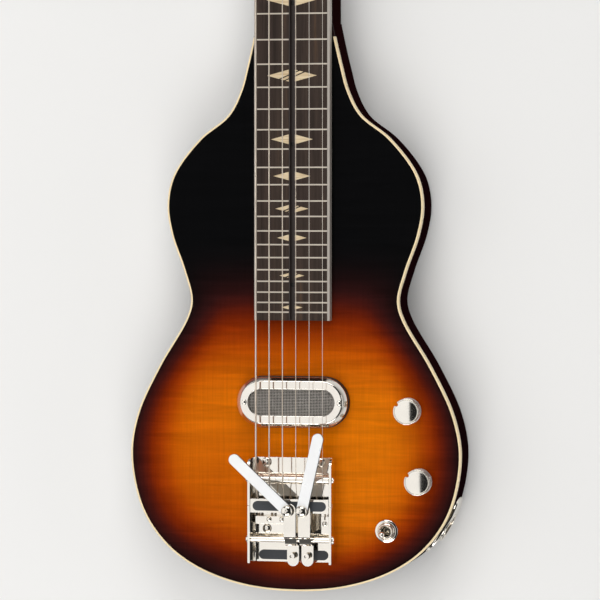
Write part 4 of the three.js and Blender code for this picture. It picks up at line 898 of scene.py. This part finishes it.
def pickup():
    low, base, high, top = 0.1, 4.5, 4.6, 12
    rows = [(19.4, 25.6, base), (20.4, 25.6, base), (20.6, 25.6, base + 0.2)]
    rows += [(19.7 + 0.9 * cosine, 25.6, top + 0.9 * sine - 4.13)
             for cosine, sine in unit_arc(0, 40, 4)]
    rows += [(16.7 + 1.6 * cosine, 25.0, top + 1.6 * (sine - 1))
             for cosine, sine in unit_arc(40, 90, 8)]
    rows += [(16.5, 25.0, top), (11.5, 25.3, top), (11.2, 25.3, top), (10.9, 25.3, top - 0.25),
             (10.9, 25.3, top - 2), (12.0, 25.3, top - 2)]
    cover = piece("pickup_shell", *slot_lathe(rows), NICKEL_FINE, smooth=50)
    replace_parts(cover, "pickup_cover")
    rows = [(18.8, 25.6, low), (21.2, 25.6, low), (21.3, 25.6, low + 0.1), (21.1, 25.6, high - 0.3),
            (20.8, 25.6, high), (18.8, 25.6, high), (18.8, 25.6, low)]
    piece("pickup_gasket", *slot_lathe(rows), BLACK, slot="black_plastic", smooth=40)
    wires = weave(74.2 * MM, 23.6 * MM, BODY_TOP + (top - 2.5) * MM)
    mesh = piece("pickup_weave", *wires, MESH, slot="mesh_steel", smooth=80)
    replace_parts(mesh, "pickup_mesh")
    ring = [(1.9, -0.2), (2.5, -0.2), (2.5, 0.12), (2.1, 0.2), (1.9, -0.2)]
    for side in (-1, 1):
        place = (side * 39.8 * MM, PICKUP_Y, BODY_TOP + top * MM)
        turned(f"pickup_screw_ring_{side + 2}", ring, place)
        screw(f"pickup_screw_{side + 2}", place, 1.75, 0.7)


pickup()


# Knobs with a domed top, two fine rings on it, seven grooves round the side and one flute
def knob(name, node, place, body):
    low, high, side = 0.3, 15.3, 10.8
    profile = [(3.4, low), (10.5, low), (side, low + 0.3), (side, low + 4)]
    for ring in range(7):
        step = low + 4.2 + ring * 1.35
        profile += [(side, step), (10.35, step + 0.45), (10.35, step + 0.6), (side, step + 1.05)]
    profile += [(side - 0.6 * (1 - cosine), high - 0.6 * (1 - sine))
                for cosine, sine in unit_arc(0, 90, 5)]
    for outer in (10.05, 9.55):
        profile += [(outer, high), (outer - 0.14, high - 0.25), (outer - 0.28, high)]
    for step in range(13):
        share = 1 - step / 12
        profile.append((9.1 * share, high + 0.36 * (1 - share ** 2)))
    verts, faces = lathe(profile, 120)
    flute_at, flute_half, flute_depth, flute_wall = radians(145), 1.6, 2.4, 0.35
    fluted = []
    for x, y, z in verts:
        angle = atan2(y, x) - flute_at
        across = abs(atan2(sin(angle), cos(angle))) * side
        if across < flute_half:
            limit = (side - flute_depth * min(1.0, (flute_half - across) / flute_wall)) * MM
            radius = hypot(x, y)
            if radius > limit:
                x, y = x * limit / radius, y * limit / radius
        fluted.append((x, y, z))
    made = piece(name, shift(fluted, (*place, BODY_TOP)), faces, NICKEL_FINE, body=body, smooth=32)
    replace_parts(made, node)


knob("volume_knob_turned", "volume_knob", volume_at, "volume_knob")
knob("tone_knob_turned", "tone_knob", tone_at, "tone_knob")


# Toggle switch
def toggle():
    x, y = toggle_at
    rows = [(5.0, 0), (9.2, 0), (9.5, 0.3), (9.5, 1.0), (9.2, 1.4), (8.1, 1.5), (7.8, 1.1), (7.5, 1.1),
            (7.2, 1.7), (6.9, 3.4), (6.6, 4.0), (6.2, 4.2), (5.9, 3.9), (5.7, 3.9), (5.5, 4.9), (5.2, 5.3),
            (4.5, 5.3), (4.2, 5.0), (4.2, -5.0)]
    ring = turned("toggle_ring", rows, (x, y, BODY_TOP + 0.1 * MM), steps=64, smooth=50)
    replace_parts(ring, "toggle_switch")
    turned("toggle_well", [(0, 0), (4.3, 0), (4.3, 0.3), (0, 0.3)], (x, y, BODY_TOP - 7.2 * MM),
           steps=32, material=DARK_METAL)
    profile = [(0, -3.6)] + [(3.6 * cosine, 3.6 * sine) for cosine, sine in unit_arc(-80, 55, 14)]
    profile += [(1.35, 4.2), (1.3, 5.5), (1.7, 9.0), (2.25, 12.5), (2.6, 14.4)]
    profile += [(2.6 * cosine, 14.4 + 2.6 * sine) for cosine, sine in unit_arc(8, 88, 10)]
    profile.append((0, 17.0))
    heading = radians(225)
    lean = Matrix.Rotation(radians(12), 3, Vector((-sin(heading), cos(heading), 0)))
    lever = turned("toggle_bat", profile, (x, y, BODY_TOP - 3 * MM), lean, 40, body="toggle_lever",
                   smooth=60)
    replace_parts(lever, "toggle_lever")


toggle()


# Bridge
def bridge():
    top, pivot_y = BODY_TOP + 25 * MM, -28 * MM
    for number, (x, angle) in enumerate(((-0.1 * MM, 47), (12 * MM, -12.8)), 1):
        turn = Matrix.Rotation(radians(angle), 3, "Z")
        outline = [(-py, px + 30.15 * MM) for px, py in obround(69.8 * MM, 9.5 * MM)]
        verts, faces = slab(outline, top + 0.1 * MM, top + 3.1 * MM)
        lever = piece(f"lever_{number}", shift(verts, (x, pivot_y, 0), turn), faces, SATIN,
                      body=f"lever_{number}", slot="satin_steel", smooth=40)
        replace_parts(soften(lever, 0.6 * MM), f"palm_lever_{number}")
        profile = [(0, -2.2), (1.9, -2.2), (1.9, 3.2), (4.7, 3.2), (4.9, 3.5)]
        profile += [(4.9 * cosine, 3.5 + 2.9 * sine) for cosine, sine in unit_arc(8, 86, 10)]
        profile.append((0, 6.4))
        dome = turned(f"dome_{number}", profile, (x, pivot_y, top), steps=56, body=f"bender_{number}")
        cross_recess(dome, (x, pivot_y, top + 6.4 * MM), 2.3, 1.4)
        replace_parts(dome, f"dome_screw_{number}")

    end = 32.7
    rows = [(2.1, -end), (3.2, -end), (3.5, 0.3 - end)]
    for groove in range(-2, 3):
        middle = groove * SPACING / MM
        rows += [(3.5, middle - 0.6), (3.0, middle - 0.3), (3.0, middle + 0.3), (3.5, middle + 0.6)]
    rows += [(3.5, end - 0.3), (3.2, end), (2.1, end), (2.1, -end)]
    roller = turned("roller_sleeve", rows, (0, roller_y, roller_z), ALONG_X, 40, body="saddle_roller")
    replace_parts(roller, "saddle_roller")

    wall = 35.1
    for name, node, radius, y, z in (("saddle_pin", "roller_axle", 1.8, -3.3, 60.9),
                                     ("bender_pin", "bender_axle", 2.5, -52.4, 60.0)):
        half = [(radius, 0), (radius, wall), (radius + 1.0, wall), (radius + 1.1, wall + 0.2),
                (radius + 1.0, wall + 0.9), (radius + 0.4, wall + 1.6), (0, wall + 2.0)]
        rows = [(across, -along) for across, along in reversed(half)] + half[1:]
        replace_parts(turned(name, rows, (0, y * MM, z * MM), ALONG_X, 36), node)

    for name, node, length, y, low in (("pad_upper", "upper_pad", 61, -24.8, 64.5),
                                       ("pad_lower", "lower_pad", 58, -66.4, 47.2)):
        verts, faces = slab(obround(length * MM, 7.8 * MM, 16), low * MM, (low + 1) * MM)
        pad = piece(name, shift(verts, (0, y * MM, 0)), faces, RUBBER, slot="black_rubber", smooth=40)
        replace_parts(soften(pad, 0.25 * MM, 2), node)

    base_screws = ((-22.6, 9.9, 4.0, 2.2), (22.4, 9.9, 4.0, 2.2), (-22.3, -44.9, 3.7, 1.9))
    for index, (x, y, radius, height) in enumerate(base_screws, 1):
        screw(f"bridge_screw_{index}", (x * MM, y * MM, BODY_TOP + 2.1 * MM), radius, height)
    outline = mm([(-30.9, -40.7), (-2.4, -40.7), (-2.4, -33.9), (-30.9, -33.9)])
    anchor_top = BODY_TOP + 9.5 * MM
    block = piece("anchor_block", *slab(outline, BODY_TOP + 2.2 * MM, anchor_top), NICKEL_FINE)
    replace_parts(soften(block, 0.5 * MM), "bass_anchor")
    for index, (x, y) in enumerate(((-19.0, -36.6), (-8.4, -36.6), (27.5, -39.6)), 1):
        screw(f"anchor_screw_{index}", (x * MM, y * MM, anchor_top), 2.1, 1.3, arms=1)


bridge()


# Jack plate bent round the side of the body, with a turned cup
def along_side(reach):
    """The place and outward direction on the treble side, a length away from the jack."""
    side = OUTLINE[len(OUTLINE) // 2:]
    spans = [(after[0] - before[0]).length for before, after in zip(side, side[1:])]
    nearest = min(range(len(side)), key=lambda index: (side[index][0] - jack_at.xy).length)
    reach += sum(spans[:nearest]) + (jack_at.xy - side[nearest][0]).dot(side[nearest][1])
    index = 0
    while reach > spans[index]:
        reach -= spans[index]
        index += 1
    share = reach / spans[index]
    point = side[index][0].lerp(side[index + 1][0], share)
    tangent = side[index][1].lerp(side[index + 1][1], share).normalized()
    return point, Vector((tangent.y, -tangent.x))


def jack_dish():
    section = [(1, 0.1), (1, 1.6), (0.985, 1.95), (0.95, 2.1)]
    section += [(share / 10, 2.1) for share in range(9, -1, -1)] + [(0, 0.1)]
    rings = []
    for share, out in section:
        ring = []
        for reach, rise in obround(54 * MM, 32 * MM, 24):
            inner = 12.2 * MM / hypot(reach, rise)
            scale = inner + (1 - inner) * share
            point, outward = along_side(reach * scale)
            ring.append((*(point + outward * out * MM), jack_at.z + rise * scale))
        rings.append(ring)
    rings.append(rings[0])
    cup = [(5.5, -7), (12.3, -7), (12.3, 1.2), (13.0, 1.5), (13.0, 2.2), (12.7, 2.5), (11.7, 2.5),
           (11.2, 2.1), (11.1, 1.6), (11.1, -5.2), (10.7, -5.6), (5.5, -5.6), (5.5, -7)]
    verts, faces = lathe(cup, 64)
    parts = merged([loft(rings, False), (shift(verts, jack_at, jack_turn), faces)])
    dish = piece("jack_dish", *parts, NICKEL_FINE, smooth=40)
    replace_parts(dish, "jack_plate")


jack_dish()


# Screws on the control cover and tuner plates
def small_screws():
    down = Matrix.Rotation(pi, 3, "X")
    for index, (x, y) in enumerate(((96, 71.6), (72, -62.5), (121.5, -2.0), (86.0, -20.0)), 1):
        screw(f"cover_screw_{index}", (x * MM, y * MM, 0.5 * MM), 2.3, 0.35, down,
              slot="black_plastic", sink=0.2)
    for side, tag in ((-1, "bass"), (1, "treble")):
        low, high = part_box(f"tuner_plate_{tag}")
        for index, y in enumerate((low.y + 2.2 * MM, 700 * MM, 740 * MM, high.y - 2.2 * MM), 1):
            x = side * (31 - 3 * (y / MM - 680) / 40) * MM
            screw(f"tuner_screw_{tag}_{index}", (x, y, high.z - 1.2 * MM), 1.7, 0.9, down)


small_screws()


def tuner_trim():
    bushing = [(3.35, 0), (5.6, 0), (5.6, 0.7), (5.0, 1.2), (4.2, 1.3), (4.0, 2.0), (3.4, 2.1), (3.35, 0)]
    post_rows = [(0, 27.2), (3.0, 27.2), (3.0, 57.5), (3.1, 58.0), (3.6, 58.7), (3.7, 59.1), (3.6, 59.5),
                 (3.1, 59.9), (0, 60.0)]
    wide, tall, thick, edge = 7 * MM, 9.5 * MM, 3 * MM, 2.4 * MM
    for index, (side, x, y) in enumerate(tuner_at, 1):
        turned(f"tuner_bushing_{index}", bushing, (x, y, BODY_TOP + 0.02 * MM), smooth=50)
        post = turned(f"post_turned_{index}", post_rows, (x, y, 0), body=f"post_{index}", smooth=50)
        cross_recess(post, (x, y, 60 * MM), 2.4, 0.8, arms=1)
        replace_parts(post, f"tuner_post_{index}")

        shaft = Vector((side * (abs(x) + 14.8 * MM), y - 6.5 * MM, 20.9 * MM))
        centre = shaft + Vector((side * (6 * MM + wide), 0, 0))
        rings = []
        for round_off, rise in unit_arc(-90, 90, 12):
            inset = edge * (1 - round_off)
            rings.append([centre + Vector(((wide - inset) * across, (tall - inset) * along, thick * rise))
                          for across, along in unit_arc(0, 353, 47)])
        verts, faces = lathe([(0, 0), (1.8, 0), (1.8, 4.4), (2.5, 5.6), (2.5, 7), (0, 7)], 32)
        stem = shift(verts, shaft, Matrix.Rotation(side * pi / 2, 3, "Y"))
        grip = piece(f"button_grip_{index}", *merged([loft(rings), (stem, faces)]), NICKEL_FINE,
                     body=f"button_{index}", smooth=40)
        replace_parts(grip, f"tuner_button_{index}")


tuner_trim()


# Floor, light and camera
BACKDROP = 0.8
FLOOR_HALF, FLOOR_HEIGHT = 6.0, -0.3 * MM
LAMP_AIM = Vector((0, 0.2, 0.05))
CAMERA_LEAN, CAMERA_DISTANCE = radians(12), 2.7


def stage_floor():
    mesh = bpy.data.meshes.new("floor")
    corners = ((-1, -1), (1, -1), (1, 1), (-1, 1))
    mesh.from_pydata([(x * FLOOR_HALF, y * FLOOR_HALF, FLOOR_HEIGHT) for x, y in corners], [], [(0, 1, 2, 3)])
    made = in_scene("floor", mesh)
    look = Look("floor", 0.8, specular=0.2)
    look.color(look.mix(look.noise(3.0, 2.0), (236, 235, 233), (232, 231, 229)))
    far_away(look)
    mesh.materials.append(look.material)


def far_away(look):
    """Away from the part the floor fades to one pale tone, so that no horizon shows."""
    distance = look.node("ShaderNodeVectorMath", operation="LENGTH")
    look.link(look.place, distance.inputs[0])
    path = look.node("ShaderNodeLightPath")
    seen = look.math("ADD", path.outputs["Is Camera Ray"], path.outputs["Is Glossy Ray"])
    seen = look.math("ADD", seen, path.outputs["Is Transmission Ray"])
    glow = look.node("ShaderNodeEmission")
    glow.inputs["Color"].default_value = (BACKDROP, BACKDROP, BACKDROP, 1.0)
    blend = look.node("ShaderNodeMixShader")
    look.link(look.math("MULTIPLY", seen, look.spread(distance.outputs["Value"], 1.1, 2.6, 0.0, 1.0)),
              blend.inputs["Fac"])
    look.link(look.shader.outputs["BSDF"], blend.inputs[1])
    look.link(glow.outputs["Emission"], blend.inputs[2])
    look.link(blend.outputs["Shader"], look.tree.nodes["Material Output"].inputs["Surface"])


stage_floor()


def lamp(name, place, width, height, radiance, mirrored=True):
    """A soft panel that shines on the part."""
    data = bpy.data.lights.new(name, "AREA")
    data.shape = "RECTANGLE"
    data.size = width
    data.size_y = height
    data.energy = radiance * pi * width * height
    made = in_scene(name, data)
    made.location = place
    made.rotation_euler = (LAMP_AIM - Vector(place)).to_track_quat("-Z", "Y").to_euler()
    made.visible_camera = False
    made.visible_glossy = mirrored


lamp("soft_left", (-1.35, 0.2, 1.6), 2.6, 3.0, 1.04)
lamp("soft_head", (0.1, 2.3, 1.7), 2.0, 1.2, 4.0)
lamp("soft_tail", (0.1, -1.9, 1.7), 2.0, 1.2, 4.0)
lamp("soft_right", (2.4, 0.2, 0.9), 1.8, 0.7, 1.5)
lamp("soft_fill", (0.5, 0.2, 3.0), 3.0, 3.0, 1.0, False)


def sky():
    """A dark ceiling over the camera's side, pale towards the horizon."""
    world = bpy.data.worlds.new("studio")
    bpy.context.scene.world = world
    world.use_nodes = True
    world.node_tree.nodes.clear()
    add, link = world.node_tree.nodes.new, world.node_tree.links.new
    split = add("ShaderNodeSeparateXYZ")
    link(add("ShaderNodeTexCoord").outputs["Generated"], split.inputs["Vector"])
    ramp = add("ShaderNodeValToRGB")
    levels = [(0.0, BACKDROP), (0.08, 0.7), (0.18, 0.2), (0.35, 0.04), (1.0, 0.02)]
    set_stops(ramp.color_ramp, [(position, (level, level, level)) for position, level in levels])
    link(split.outputs["Z"], ramp.inputs["Fac"])
    back = add("ShaderNodeBackground")
    link(ramp.outputs["Color"], back.inputs["Color"])
    link(back.outputs["Background"], add("ShaderNodeOutputWorld").inputs["Surface"])


sky()

camera_data = bpy.data.cameras.new("camera")
camera_data.lens = 198.0
camera_data.sensor_width = 36.0
camera_data.clip_end = 50.0
camera = in_scene("camera", camera_data)
aim = Vector((6.5 * MM, 143.5 * MM, 52.5 * MM))
camera.location = (6.5 * MM + CAMERA_DISTANCE * sin(CAMERA_LEAN), 225 * MM,
                   52.5 * MM + CAMERA_DISTANCE * cos(CAMERA_LEAN))
back = (camera.location - aim).normalized()
right = Vector((0, 1, 0)).cross(back).normalized()
camera.rotation_euler = Matrix((right, back.cross(right), back)).transposed().to_euler()
bpy.context.scene.camera = camera
bpy.context.scene.view_settings.view_transform = "Standard"
